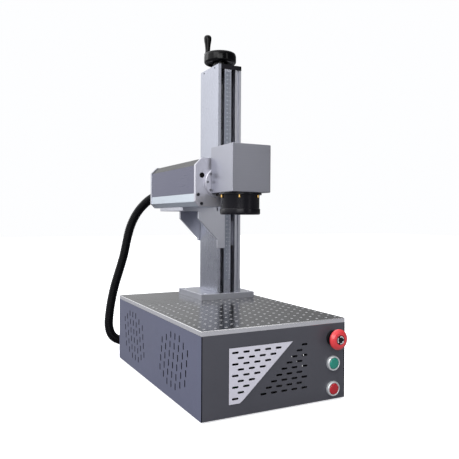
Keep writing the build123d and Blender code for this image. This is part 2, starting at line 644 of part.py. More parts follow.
# ---------------------------------------------------------------- carriage
NUT_R = 11.0
BUSH_R = 9.0
with BuildPart() as nut_block:
    block((COL_INNER_X[0] + 2.0, COL_INNER_X[1] - 2.0), NUT_Y, NUT_Z)
    for y_span in ((COL_FRONT - COLUMN_GAP, NUT_Y[0]), (NUT_Y[1], COL_REAR + COLUMN_GAP)):
        block(TONGUE_X, y_span, NUT_Z)
    post(SCREW_X, SCREW_Y, NUT_Z, NUT_R, Mode.SUBTRACT)
    for y in (SCREW_Y - ROD_OFFSET, SCREW_Y + ROD_OFFSET):
        post(SCREW_X, y, NUT_Z, BUSH_R, Mode.SUBTRACT)
keep(nut_block, "nut_block")

with BuildPart() as lead_nut:
    post(SCREW_X, SCREW_Y, (NUT_Z[0], NUT_Z[0] + 40.0), NUT_R)
    post(SCREW_X, SCREW_Y, (NUT_Z[0] - 6.0, NUT_Z[0]), NUT_R + 4.0)
    post(SCREW_X, SCREW_Y, (NUT_Z[0] - 6.0, NUT_Z[0] + 40.0), SCREW_R + RUN_FIT, Mode.SUBTRACT)
keep(lead_nut, "lead_nut")

with BuildPart() as guide_bushes:
    rod_places = (SCREW_Y - ROD_OFFSET, SCREW_Y + ROD_OFFSET)
    for y in rod_places:
        post(SCREW_X, y, NUT_Z, BUSH_R)
    for y in rod_places:
        post(SCREW_X, y, NUT_Z, ROD_R + RUN_FIT, Mode.SUBTRACT)
keep(guide_bushes, "guide_bushes")

GUSSET_KNEE_Z = 353.0
GUSSET_FOOT_Z = 303.0
STRIP_FOOT_Z = 283.0


def gusset(y_front, strip_foot):
    """Side bracket: a plate cut at 45 degrees that bolts to a tongue of the nut block."""
    with BuildPart() as plate:
        with BuildSketch(wall_plane(y_front + GUSSET_T)):
            with BuildLine():
                Polyline(
                    (GUSSET_LEFT, SHELF_Z[0]),
                    (GUSSET_LEFT, GUSSET_KNEE_Z),
                    (GUSSET_NECK, GUSSET_FOOT_Z),
                    (GUSSET_NECK, strip_foot),
                    (GUSSET_RIGHT, strip_foot),
                    (GUSSET_RIGHT, SHELF_Z[0]),
                    close=True,
                )
            make_face()
        extrude(amount=GUSSET_T)
    return plate


front_gusset = gusset(COL_FRONT - COLUMN_GAP - GUSSET_T, STRIP_FOOT_Z)
keep(front_gusset, "front_gusset")
rear_gusset = gusset(COL_REAR + COLUMN_GAP, GUSSET_FOOT_Z - 6.0)
keep(rear_gusset, "rear_gusset")

with BuildPart() as shelf_plate:
    block(SHELF_X, SHELF_Y, SHELF_Z)
    chamfer(shelf_plate.edges().filter_by(Axis.Z), 2.0)
keep(shelf_plate, "shelf_plate")

# ---------------------------------------------------------------- beam box
TRAY_CUT = 9.0
COVER_CUT = 15.0
TRAY_WALL = 4.0
LID_WALL = 2.0


def tray_outline(inset):
    """Corner points of the tray's section, moved in from its skin."""
    x = (BOX_SKIN_X[0] + inset, BOX_SKIN_X[1] - inset)
    low = BOX_SKIN_Z[0] + inset
    cut = TRAY_CUT - inset * tan(radians(22.5))
    return [
        (x[0], TRAY_TOP),
        (x[0], low + cut),
        (x[0] + cut, low),
        (x[1] - cut, low),
        (x[1], low + cut),
        (x[1], TRAY_TOP),
    ]


def lid_outline(inset):
    """Corner points of the cover's section, moved in from its skin."""
    x = (BOX_SKIN_X[0] + inset, BOX_SKIN_X[1] - inset)
    high = BOX_SKIN_Z[1] - inset
    cut = COVER_CUT - inset * tan(radians(22.5))
    return [
        (x[0], TRAY_TOP),
        (x[0], high - cut),
        (x[0] + cut, high),
        (x[1] - cut, high),
        (x[1], high - cut),
        (x[1], TRAY_TOP),
    ]


def box_shell(outline, wall):
    """Extruded shell between the beam box's end plates, open along the joint."""
    with BuildPart() as shell:
        with BuildSketch(wall_plane(BOX_Y[1])):
            with BuildLine():
                Polyline(*outline(0.0), close=True)
            make_face()
            with BuildLine():
                Polyline(*outline(wall), close=True)
            make_face(mode=Mode.SUBTRACT)
        extrude(amount=BOX_LENGTH)
    return shell


beam_box_tray = box_shell(tray_outline, TRAY_WALL)
keep(beam_box_tray, "beam_box_tray")
beam_box_cover = box_shell(lid_outline, LID_WALL)
keep(beam_box_cover, "beam_box_cover")

PLATE_CUTS = (15.0, 11.0)
AIM_HOLE = (BEAM_X - 37.1, BEAM_Z + 14.7)
BEAM_BORE_R = 14.0
with BuildPart() as adaptor_plate:
    with BuildSketch(wall_plane(ADAPTOR_Y[1])):
        Polygon(*octagon(BOX_X, BOX_Z, *PLATE_CUTS), align=None)
        with Locations((BEAM_X, BEAM_Z)):
            Circle(BEAM_BORE_R, mode=Mode.SUBTRACT)
        with Locations(AIM_HOLE):
            Circle(4.8, mode=Mode.SUBTRACT)
    extrude(amount=ADAPTOR_Y[1] - ADAPTOR_Y[0])
keep(adaptor_plate, "adaptor_plate")

with BuildPart() as box_rear_plate:
    with BuildSketch(wall_plane(BOX_PLATE_Y[1])):
        Polygon(*octagon(BOX_X, BOX_Z, *PLATE_CUTS), align=None)
    extrude(amount=BOX_PLATE_Y[1] - BOX_PLATE_Y[0])
keep(box_rear_plate, "box_rear_plate")

with BuildPart() as beam_flange:
    bar_y(BEAM_X, BEAM_Z, FLANGE_Y, FLANGE_R)
    rim = beam_flange.faces().sort_by(Axis.Y)[0].edges()
    chamfer(rim, 1.5)
    bar_y(BEAM_X, BEAM_Z, FLANGE_Y, BEAM_BORE_R, Mode.SUBTRACT)
keep(beam_flange, "beam_flange")

SCREW_HEAD = (3.4, 3.0)
LOW_SCREWS = ((-46.2, -26.5), (-38.4, -45.5), (46.2, -26.5), (38.4, -45.5), (46.2, 26.5))
with BuildPart() as adaptor_screws:
    for dx, dz in LOW_SCREWS:
        y_span = (ADAPTOR_Y[0] - SCREW_HEAD[1], ADAPTOR_Y[0])
        bar_y(BEAM_X + dx, BEAM_Z + dz, y_span, SCREW_HEAD[0])
keep(adaptor_screws, "adaptor_screws")

with BuildPart() as beam_collimator:
    bar_y(BEAM_X, BEAM_Z, (BOX_Y[0], BOX_Y[0] + 60.0), 15.0)
    bar_y(BEAM_X, BEAM_Z, (BOX_Y[0] + 60.0, BOX_Y[0] + 190.0), 19.0)
    bar_y(BEAM_X, BEAM_Z, (BOX_Y[0] + 190.0, BOX_Y[0] + 225.0), 7.0)
    tray_floor = BOX_SKIN_Z[0] + TRAY_WALL
    for y in (BOX_Y[0] + 80.0, BOX_Y[0] + 160.0):
        block((BEAM_X - 16.0, BEAM_X + 16.0), (y, y + 14.0), (tray_floor, BEAM_Z - 10.0))
keep(beam_collimator, "beam_collimator")


def gland(x, z, y, name):
    """Cable gland on a wall: hexagon body, round dome nut and the cable's mouth."""
    with BuildPart() as body:
        with BuildSketch(wall_plane(y)):
            with Locations((x, z)):
                RegularPolygon(18.0, 6)
        extrude(amount=-7.0)
        bar_y(x, z, (y + 7.0, y + GLAND_L), 15.0)
        chamfer(body.faces().sort_by(Axis.Y)[-1].edges(), 1.5)
    keep(body, name)
    return body


box_gland = gland(*BOX_GLAND, BOX_PLATE_Y[1], "box_gland")
cabinet_gland = gland(*CAB_GLAND, REAR, "cabinet_gland")

# ---------------------------------------------------------------- scan head
with BuildPart() as galvo_cover:
    cover_z = (GALVO_Z[0] + GALVO_PLATE, GALVO_Z[1])
    block(GALVO_X, GALVO_Y, cover_z)
    fillet(galvo_cover.edges().filter_by(Axis.Z), 2.0)
    chamfer(galvo_cover.faces().sort_by(Axis.Z)[-1].edges(), 0.8)
    hollow = [(low + GALVO_WALL, high - GALVO_WALL) for low, high in (GALVO_X, GALVO_Y)]
    block(*hollow, (cover_z[0], cover_z[1] - GALVO_WALL), Mode.SUBTRACT)
    bar_y(BEAM_X, BEAM_Z, (GALVO_Y[1] - GALVO_WALL, GALVO_Y[1]), BEAM_BORE_R, Mode.SUBTRACT)
keep(galvo_cover, "galvo_cover")

LENS_BORE_R = 33.0
X_MOTOR_Z = (BEAM_Z + 16.0, BEAM_Z + 62.0)
Y_MOTOR_Y = (GALVO_Y[0] + 4.0, LENS_Y - 17.0)
with BuildPart() as galvo_frame:
    block(GALVO_X, GALVO_Y, (GALVO_Z[0], GALVO_Z[0] + GALVO_PLATE))
    fillet(galvo_frame.edges().filter_by(Axis.Z), 2.0)
    chamfer(galvo_frame.faces().sort_by(Axis.Z)[0].edges(), 1.2)
    post(LENS_X, LENS_Y, (GALVO_Z[0], GALVO_Z[0] + GALVO_PLATE), LENS_BORE_R, Mode.SUBTRACT)
    yoke_z = (GALVO_Z[0] + GALVO_PLATE, BEAM_Z + 14.0)
    block((LENS_X - 14.0, LENS_X + 14.0), (GALVO_Y[0] + 4.0, GALVO_Y[0] + 14.0), yoke_z)
    bar_y(LENS_X, BEAM_Z, (GALVO_Y[0] + 4.0, GALVO_Y[0] + 14.0), MOTOR_R, Mode.SUBTRACT)
    arm_x = (GALVO_X[0] + GALVO_WALL, GALVO_X[0] + GALVO_WALL + 3.0)
    arm_y = (LENS_Y - 14.0, LENS_Y + 14.0)
    block(arm_x, arm_y, (GALVO_Z[0] + GALVO_PLATE, BEAM_Z + 44.0))
    block((arm_x[1], BEAM_X + 14.0), arm_y, (BEAM_Z + 26.0, BEAM_Z + 44.0))
    post(BEAM_X, LENS_Y, (BEAM_Z + 26.0, BEAM_Z + 44.0), MOTOR_R, Mode.SUBTRACT)
keep(galvo_frame, "galvo_frame")

with BuildPart() as galvo_motors:
    post(BEAM_X, LENS_Y, X_MOTOR_Z, MOTOR_R)
    bar_y(LENS_X, BEAM_Z, Y_MOTOR_Y, MOTOR_R)
    post(BEAM_X, LENS_Y, (X_MOTOR_Z[0], X_MOTOR_Z[0] + 12.0), PIVOT_R + RUN_FIT, Mode.SUBTRACT)
    bar_y(LENS_X, BEAM_Z, (Y_MOTOR_Y[1] - 12.0, Y_MOTOR_Y[1]), PIVOT_R + RUN_FIT, Mode.SUBTRACT)
keep(galvo_motors, "galvo_motors")

with BuildPart() as x_mirror:
    post(BEAM_X, LENS_Y, (BEAM_Z + 5.0, X_MOTOR_Z[0] + 11.0), PIVOT_R)
    with Locations((BEAM_X, LENS_Y, BEAM_Z)):
        Box(12.0, 2.0, 14.0, rotation=(0, 0, -45))
keep(x_mirror, "x_mirror")

with BuildPart() as y_mirror:
    bar_y(LENS_X, BEAM_Z, (Y_MOTOR_Y[1] - 11.0, LENS_Y - 7.0), PIVOT_R)
    with Locations((LENS_X, LENS_Y, BEAM_Z)):
        Box(14.0, 18.0, 2.0, rotation=(0, 45, 0))
keep(y_mirror, "y_mirror")

LENS_FLANGE_R = 45.0
LENS_RING_R = 42.0
LENS_Z = (362.0, 375.0, 403.0, GALVO_Z[0])
with BuildPart() as lens_barrel:
    post(LENS_X, LENS_Y, (LENS_Z[2], LENS_Z[3]), LENS_FLANGE_R)
    post(LENS_X, LENS_Y, (LENS_Z[1], LENS_Z[2]), LENS_R)
    post(LENS_X, LENS_Y, (LENS_Z[0], LENS_Z[1] - 0.8), LENS_RING_R)
    post(LENS_X, LENS_Y, (LENS_Z[1] - 0.8, LENS_Z[1]), LENS_R - 0.8)
    chamfer(lens_barrel.faces().sort_by(Axis.Z)[0].edges(), 1.0)
    post(LENS_X, LENS_Y, (LENS_Z[0], LENS_Z[3]), LENS_BORE_R, Mode.SUBTRACT)
keep(lens_barrel, "lens_barrel")

with BuildPart() as lens_glass:
    post(LENS_X, LENS_Y, (LENS_Z[0] + 4.0, LENS_Z[0] + 9.0), LENS_BORE_R)
    chamfer(lens_glass.faces().sort_by(Axis.Z)[0].edges(), 1.0)
keep(lens_glass, "lens_glass")

with BuildPart() as lens_screws:
    with Locations((LENS_X, LENS_Y, LENS_Z[2] - 3.5)):
        with PolarLocations(LENS_R + 2.4, 6):
            Cylinder(2.0, 7.0)
keep(lens_screws, "lens_screws")

# ---------------------------------------------------------------- fibre conduit
# The conduit leaves the beam box straight to the rear, falls in one slack bend outside the
# cabinet's rear left corner, lies along the table behind the cabinet and turns forward into
# the gland at the foot of the rear panel. The slack is what the lift's top position takes up.
CABLE_POINTS = [
    (BOX_GLAND[0], BOX_PLATE_Y[1] + GLAND_L, BOX_GLAND[1]),
    (BOX_GLAND[0], 306.0, BOX_GLAND[1]),
    (-55.0, 336.0, 399.0),
    (-76.0, 355.0, 370.0),
    (-93.0, 361.0, 333.0),
    (-103.5, 360.0, 293.0),
    (-112.0, 358.0, 253.0),
    (-124.0, 358.0, 214.0),
    (-136.0, 360.0, 175.0),
    (-145.0, 361.0, 136.0),
    (-151.0, 361.0, 98.0),
    (-154.0, 361.0, 62.0),
    (-144.0, 362.0, 32.0),
    (-116.0, 365.0, 17.0),
    (-79.0, 368.0, 15.0),
    (-42.0, 367.0, 17.0),
    (-7.0, 357.0, 22.0),
    (26.0, 335.0, 27.0),
    (CAB_GLAND[0], 304.0, CAB_GLAND[1]),
    (CAB_GLAND[0], REAR + GLAND_L, CAB_GLAND[1]),
]


def corner_radii(points):
    """Radius for each corner: 0.45 of its shorter run over the tangent of half its turn."""
    radii = []
    for before, here, after in zip(points, points[1:], points[2:]):
        run_in = Vector(here) - Vector(before)
        run_out = Vector(after) - Vector(here)
        half_turn = radians(run_in.get_angle(run_out)) / 2
        radii.append(0.45 * min(run_in.length, run_out.length) / tan(half_turn))
    return radii


cable_radii = corner_radii(CABLE_POINTS)
with BuildPart() as fibre_cable:
    with BuildLine() as cable_path:
        FilletPolyline(*CABLE_POINTS, radius=cable_radii)
    with BuildSketch(wall_plane(CABLE_POINTS[0][1])):
        with Locations((CABLE_POINTS[0][0], CABLE_POINTS[0][2])):
            Circle(CABLE_R)
    sweep()
keep(fibre_cable, "fibre_cable")

cable_length = sum(edge.length for edge in cable_path.edges())
cable_volume = pi * CABLE_R**2 * cable_length
print("cable radii in diameters:", [round(r / (2 * CABLE_R), 1) for r in cable_radii])
runs = [(Vector(b) - Vector(a)).length for a, b in zip(CABLE_POINTS, CABLE_POINTS[1:])]
print("cable runs:", [round(run, 1) for run in runs])
print("cable length:", round(cable_length, 1))
print("cable volume over section times length:", round(fibre_cable.part.volume / cable_volume, 4))
print("turns for the whole lift:", round(340.0 / SCREW_LEAD, 1))
print("grip at", round(grip_x, 3), round(grip_y, 3), "angle", round(degrees(radians(GRIP_ANGLE)), 1))
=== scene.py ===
import logging
import math
from dataclasses import dataclass
from enum import Enum

import bmesh
import bpy
import numpy as np
from mathutils import Matrix, Vector


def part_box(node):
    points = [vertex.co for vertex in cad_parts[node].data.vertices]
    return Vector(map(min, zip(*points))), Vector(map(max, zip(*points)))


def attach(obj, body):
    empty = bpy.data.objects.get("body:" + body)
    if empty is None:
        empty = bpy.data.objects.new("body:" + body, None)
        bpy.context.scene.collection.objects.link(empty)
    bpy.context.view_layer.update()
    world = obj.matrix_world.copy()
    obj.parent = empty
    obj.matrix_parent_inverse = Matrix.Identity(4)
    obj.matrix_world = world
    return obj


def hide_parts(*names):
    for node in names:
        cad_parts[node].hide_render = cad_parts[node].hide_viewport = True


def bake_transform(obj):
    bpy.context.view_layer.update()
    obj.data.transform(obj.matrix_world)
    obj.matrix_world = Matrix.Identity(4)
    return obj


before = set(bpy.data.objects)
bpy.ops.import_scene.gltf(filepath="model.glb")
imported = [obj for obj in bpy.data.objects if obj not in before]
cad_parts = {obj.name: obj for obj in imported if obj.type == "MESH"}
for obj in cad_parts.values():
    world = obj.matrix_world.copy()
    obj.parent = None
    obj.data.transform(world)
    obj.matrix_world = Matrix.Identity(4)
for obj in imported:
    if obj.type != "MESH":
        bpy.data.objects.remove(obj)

logging.basicConfig(level=logging.INFO, format="%(message)s")
LOG = logging.getLogger("marking_machine")
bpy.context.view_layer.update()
MM = 0.001
TAU = 2.0 * math.pi
GRAIN_STRETCH = 60.0  # how many times longer than wide a brushed grain is
COAT_ROUGHNESS = 0.08
BUMP_GAIN = 8.0
BUMP_DISTANCE = 0.0002
BEVEL_ANGLE = 32.0  # degrees between faces above which an edge is rounded
WELD_DISTANCE = 2e-6
# near-black painted shade for the walls of vent slots and the cut edges of painted sheets
SLOT_PAINTED_SHADE = (0.004, 0.004, 0.006)
Piece = bpy.types.Object
Tree = bpy.types.NodeTree
Socket = bpy.types.NodeSocket
Value = float | tuple | Socket  # what a node's input takes: a constant or a link


class Axis(Enum):
    """Direction a turned piece or a brushed grain runs along."""

    X = 0
    Y = 1
    Z = 2


# ---------------------------------------------------------------- mesh helpers
def node_box(node: str) -> tuple[np.ndarray, np.ndarray, np.ndarray]:
    """Low corner, high corner and middle of a node's box, in metres."""
    low, high = (np.array([float(value) for value in corner]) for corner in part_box(node))
    return low, high, (low + high) / 2


def link_mesh(name: str, mesh: bpy.types.Mesh) -> Piece:
    """Put a mesh into the scene as a new object."""
    piece = bpy.data.objects.new(name, mesh)
    bpy.context.scene.collection.objects.link(piece)
    return piece


def new_piece(name: str, points: np.ndarray, faces: list | np.ndarray, smooth: bool = True) -> Piece:
    """Make a mesh object from arrays.

    Args:
        name: name of the object and its mesh.
        points: (n, 3) vertex places in metres.
        faces: rows of vertex numbers, as an array or as lists.
        smooth: whether the faces are shaded smooth.

    Returns:
        The new object, linked to the scene.
    """
    mesh = bpy.data.meshes.new(name)
    rows = faces.tolist() if isinstance(faces, np.ndarray) else faces
    mesh.from_pydata(points.tolist(), [], rows)
    mesh.update()
    work = bmesh.new()
    work.from_mesh(mesh)
    bmesh.ops.remove_doubles(work, verts=work.verts, dist=1e-7)
    bmesh.ops.dissolve_degenerate(work, edges=work.edges, dist=1e-8)
    bmesh.ops.recalc_face_normals(work, faces=work.faces)
    work.to_mesh(mesh)
    work.free()
    mesh.polygons.foreach_set("use_smooth", np.full(len(mesh.polygons), smooth))
    return link_mesh(name, mesh)


def read_curve(curve: bpy.types.Curve) -> tuple[np.ndarray, list]:
    """Vertex places and polygons of a curve or a text, which is removed afterwards."""
    holder = bpy.data.objects.new(curve.name, curve)
    mesh = bpy.data.meshes.new_from_object(holder)
    points = np.zeros(len(mesh.vertices) * 3)
    mesh.vertices.foreach_get("co", points)
    polygons = [list(polygon.vertices) for polygon in mesh.polygons]
    bpy.data.objects.remove(holder)
    bpy.data.curves.remove(curve)
    bpy.data.meshes.remove(mesh)
    return points.reshape(-1, 3), polygons


def grid_faces(rows: int, columns: int, wrap: bool, first: int = 0) -> np.ndarray:
    """Quads of a grid of rows x columns vertices, numbered row by row.

    Args:
        rows: vertices along the first parameter.
        columns: vertices along the second parameter.
        wrap: whether the last column joins the first.
        first: number of the grid's first vertex.

    Returns:
        (m, 4) vertex numbers.
    """
    i, j = np.meshgrid(np.arange(rows - 1), np.arange(columns if wrap else columns - 1), indexing="ij")
    k = (j + 1) % columns
    quad = np.stack([i * columns + j, i * columns + k, (i + 1) * columns + k, (i + 1) * columns + j], -1)
    return quad.reshape(-1, 4) + first


def place_along(radial: np.ndarray, height: np.ndarray, angle: np.ndarray, axis: Axis) -> np.ndarray:
    """Turn cylinder coordinates into points.

    Formula: one coordinate is the height; the other two are radius times cosine and sine.
    """
    c, s = radial * np.cos(angle), radial * np.sin(angle)
    order = {Axis.Z: (c, s, height), Axis.Y: (s, height, c), Axis.X: (height, c, s)}
    return np.stack(order[axis], -1)


def lathe_points(profile: np.ndarray, centre: tuple, axis: Axis, segments: int) -> tuple[np.ndarray, np.ndarray]:
    """Points and faces of a turned shape.

    Formula: each profile row (radius, height) is carried round the axis in equal steps.
    """
    angle = np.arange(segments) * TAU / segments
    radial = np.repeat(profile[:, :1], segments, 1)
    height = np.repeat(profile[:, 1:2], segments, 1)
    points = place_along(radial, height, angle[None, :], axis).reshape(-1, 3) + np.array(centre)
    return points, grid_faces(len(profile), segments, True)


def rounded(corners: list[tuple[float, float, float]], steps: int = 5) -> np.ndarray:
    """Profile through corners, each with its own rounding.

    Formula: at a corner the two neighbours' directions are followed back by the rounding, and
    a quadratic Bezier arc joins the two places.

    Args:
        corners: rows of radius, height and rounding in millimetres.
        steps: points on each arc.

    Returns:
        (n, 2) profile in metres.
    """
    data = np.array(corners, float)
    xy, r = data[:, :2], data[:, 2]
    out = [xy[:1]]
    t = np.linspace(0.0, 1.0, steps)[:, None]
    for before, here, after, size in zip(xy[:-2], xy[1:-1], xy[2:], r[1:-1]):
        if size <= 0:
            out.append(here[None, :])
            continue
        a, b = before - here, after - here
        size = min(size, 0.49 * np.linalg.norm(a), 0.49 * np.linalg.norm(b))
        start, end = here + a / np.linalg.norm(a) * size, here + b / np.linalg.norm(b) * size
        out.append((1 - t) ** 2 * start + 2 * t * (1 - t) * here + t * t * end)
    out.append(xy[-1:])
    return np.concatenate(out) * MM


def lathe(name: str, corners: list, centre: tuple, axis: Axis, segments: int, steps: int = 5) -> Piece:
    """Turned piece from rounded corners in millimetres, about an axis through centre in metres."""
    return new_piece(name, *lathe_points(rounded(corners, steps), centre, axis, segments))


def many_lathes(name: str, corners: list, centres: list, axis: Axis, segments: int) -> Piece:
    """One mesh of the same turned shape at several centres."""
    profile = rounded(corners, 3)
    points, faces, count = [], [], 0
    for centre in centres:
        p, f = lathe_points(profile, centre, axis, segments)
        points.append(p)
        faces.append(f + count)
        count += len(p)
    return new_piece(name, np.concatenate(points), np.concatenate(faces))


def slabs(name: str, boxes: np.ndarray) -> Piece:
    """One mesh of many blocks, each row being low x, y, z and high x, y, z in metres."""
    pick = np.array([[0, 0, 0], [1, 0, 0], [1, 1, 0], [0, 1, 0], [0, 0, 1], [1, 0, 1], [1, 1, 1], [0, 1, 1]])
    low, high = boxes[:, None, :3], boxes[:, None, 3:]
    points = (low * (1 - pick) + high * pick).reshape(-1, 3)
    cube = np.array([[0, 3, 2, 1], [4, 5, 6, 7], [0, 1, 5, 4], [1, 2, 6, 5], [2, 3, 7, 6], [3, 0, 4, 7]])
    faces = (np.arange(len(boxes))[:, None, None] * 8 + cube).reshape(-1, 4)
    return new_piece(name, points, faces, smooth=False)


def prism(name: str, outline: np.ndarray, y: tuple[float, float]) -> Piece:
    """Upright plate: an outline of (x, z) rows carried straight along Y between two places."""
    n = len(outline)
    rings = [np.stack([outline[:, 0], np.full(n, d), outline[:, 1]], -1) for d in y]
    faces = grid_faces(2, n, True).tolist() + [list(range(n)), list(range(n, 2 * n))]
    return new_piece(name, np.concatenate(rings), faces, smooth=False)


def soften(piece: Piece, width: float) -> None:
    """Round the sharp edges of a piece with a live bevel, after closing loose triangles."""
    join = piece.modifiers.new("join", "WELD")
    join.merge_threshold = WELD_DISTANCE
    bevel = piece.modifiers.new("edge", "BEVEL")
    bevel.width = width
    bevel.segments = 2
    bevel.limit_method = "ANGLE"
    bevel.angle_limit = math.radians(BEVEL_ANGLE)
    bevel.use_clamp_overlap = True
    bevel.harden_normals = False
    bevel.miter_outer = "MITER_ARC"


# ---------------------------------------------------------------- shader groups
def socket_group(name: str, inputs: list[tuple], outputs: list[tuple]) -> tuple:
    """Empty node group with named sockets.

    Args:
        name: group name.
        inputs: rows of name, socket kind and default.
        outputs: rows of name and socket kind.

    Returns:
        The group, its input node and its output node.
    """
    group = bpy.data.node_groups.new(name, "ShaderNodeTree")
    for label, kind, default in inputs:
        made = group.interface.new_socket(label, in_out="INPUT", socket_type=f"NodeSocket{kind}")
        if default is not None:
            made.default_value = default
    for label, kind in outputs:
        group.interface.new_socket(label, in_out="OUTPUT", socket_type=f"NodeSocket{kind}")
    return group, group.nodes.new("NodeGroupInput"), group.nodes.new("NodeGroupOutput")


def add_node(tree: Tree, kind: str, settings: dict | None = None, values: dict | None = None) -> bpy.types.Node:
    """Add a node, set its properties, and set or link its input sockets."""
    node = tree.nodes.new(kind)
    for key, value in (settings or {}).items():
        setattr(node, key, value)
    for key, value in (values or {}).items():
        if isinstance(value, Socket):
            tree.links.new(value, node.inputs[key])
        else:
            node.inputs[key].default_value = value
    return node


def math_node(tree: Tree, kind: str, a: Value, b: Value = 0.0, c: Value = 0.0) -> Socket:
    """Output socket of one Math node."""
    return add_node(tree, "ShaderNodeMath", {"operation": kind}, {0: a, 1: b, 2: c}).outputs[0]


def noise(
    tree: Tree, where: Socket, scale: Value, detail: float, roughness: float = 0.5, distortion: float = 0.0
) -> Socket:
    """Output socket of one solid noise, read at a place."""
    values = {"Vector": where, "Scale": scale, "Detail": detail, "Roughness": roughness, "Distortion": distortion}
    return add_node(tree, "ShaderNodeTexNoise", None, values).outputs[0]


def mix_color(tree: Tree, share: Value, a: Value, b: Value) -> Socket:
    """Output socket of a colour that goes from a to b as the share goes from 0 to 1."""
    return add_node(tree, "ShaderNodeMix", {"data_type": "RGBA"}, {0: share, 6: a, 7: b}).outputs[2]


def mix_value(tree: Tree, share: Value, a: Value, b: Value) -> Socket:
    """Output socket of a value that goes from a to b as the share goes from 0 to 1."""
    return add_node(tree, "ShaderNodeMix", {"data_type": "FLOAT"}, {0: share, 2: a, 3: b}).outputs[0]


def split_vector(tree: Tree, kind: str, output: str) -> bpy.types.Node:
    """Separate XYZ node that takes the named output of a new input node."""
    source = add_node(tree, kind).outputs[output]
    return add_node(tree, "ShaderNodeSeparateXYZ", None, {0: source})


class SurfaceGroups:
    """Shader node groups that several finishes share."""

    def __init__(self) -> None:
        """Build each group once."""
        self.brushed = self._brushed()
        self.coat = self._coat()
        self.wear = self._wear()

    @staticmethod
    def _put_out(group: Tree, put: bpy.types.Node, gain: Socket, rough: Socket, height: Socket) -> None:
        """Scale the group's colour by a gain, and link the three outputs that both skins have."""
        source = next(node for node in group.nodes if node.type == "GROUP_INPUT")
        values = {0: source.outputs["Color"], "Scale": gain}
        scaled = add_node(group, "ShaderNodeVectorMath", {"operation": "SCALE"}, values)
        group.links.new(scaled.outputs[0], put.inputs["Color"])
        group.links.new(rough, put.inputs["Roughness"])
        group.links.new(height, put.inputs["Height"])

    def _brushed(self) -> Tree:
        """Brushed grain: noise drawn out by uneven scales, put out as a value and a colour."""
        group, get, put = socket_group(
            "brushed_grain",
            [("Scale", "Vector", (900, 900, 14)), ("Color", "Color", (0.5, 0.5, 0.5, 1)),
             ("Shade", "Float", 0.12), ("Roughness", "Float", 0.35), ("Spread", "Float", 0.12)],
            [("Color", "Color"), ("Roughness", "Float"), ("Height", "Float")],
        )
        where = add_node(group, "ShaderNodeTexCoord").outputs["Object"]
        drawn = add_node(group, "ShaderNodeMapping", None, {"Vector": where, "Scale": get.outputs["Scale"]})
        grain = noise(group, drawn.outputs[0], 1.0, 3.0, 0.65)
        broad = noise(group, where, 9.0, 3.0, 0.6)
        mixed = math_node(group, "MULTIPLY_ADD", broad, 0.7, grain)
        centred = math_node(group, "SUBTRACT", mixed, 0.85)
        gain = math_node(group, "MULTIPLY_ADD", centred, get.outputs["Shade"], 1.0)
        rough = math_node(group, "MULTIPLY_ADD", centred, get.outputs["Spread"], get.outputs["Roughness"])
        self._put_out(group, put, gain, rough, grain)
        return group

    def _coat(self) -> Tree:
        """Sprayed or moulded skin: a fine orange-peel height with a slow drift of colour and roughness."""
        group, get, put = socket_group(
            "sprayed_skin",
            [("Grain", "Float", 900.0), ("Color", "Color", (0.1, 0.1, 0.12, 1)), ("Shade", "Float", 0.2),
             ("Roughness", "Float", 0.5), ("Spread", "Float", 0.2)],
            [("Color", "Color"), ("Roughness", "Float"), ("Height", "Float")],
        )
        where = add_node(group, "ShaderNodeTexCoord").outputs["Object"]
        peel = noise(group, where, get.outputs["Grain"], 2.0)
        drift = noise(group, where, 6.0, 4.0, 0.62)
        smear = noise(group, where, 42.0, 3.0, distortion=1.2)
        slow = math_node(group, "SUBTRACT", drift, 0.5)
        gain = math_node(group, "MULTIPLY_ADD", slow, get.outputs["Shade"], 1.0)
        both = math_node(group, "ADD", slow, math_node(group, "SUBTRACT", smear, 0.5))
        rough = math_node(group, "MULTIPLY_ADD", both, get.outputs["Spread"], get.outputs["Roughness"])
        self._put_out(group, put, gain, rough, peel)
        return group

    def _wear(self) -> Tree:
        """Settled dust: stronger on faces that look up, broken up by noise, mixed into a colour."""
        group, get, put = socket_group(
            "settled_dust",
            [("Color", "Color", (0.1, 0.1, 0.1, 1)), ("Amount", "Float", 0.05),
             ("Dust", "Color", (0.5, 0.48, 0.45, 1))],
            [("Color", "Color"), ("Mask", "Float")],
        )
        up = split_vector(group, "ShaderNodeNewGeometry", "Normal").outputs[2]
        where = add_node(group, "ShaderNodeTexCoord").outputs["Object"]
        patch = noise(group, where, 60.0, 5.0, 0.7)
        face = add_node(group, "ShaderNodeClamp", None, {0: up}).outputs[0]
        mask = math_node(group, "MULTIPLY", math_node(group, "MULTIPLY", face, patch), get.outputs["Amount"])
        group.links.new(mix_color(group, mask, get.outputs["Color"], get.outputs["Dust"]), put.inputs["Color"])
        group.links.new(mask, put.inputs["Mask"])
        return group


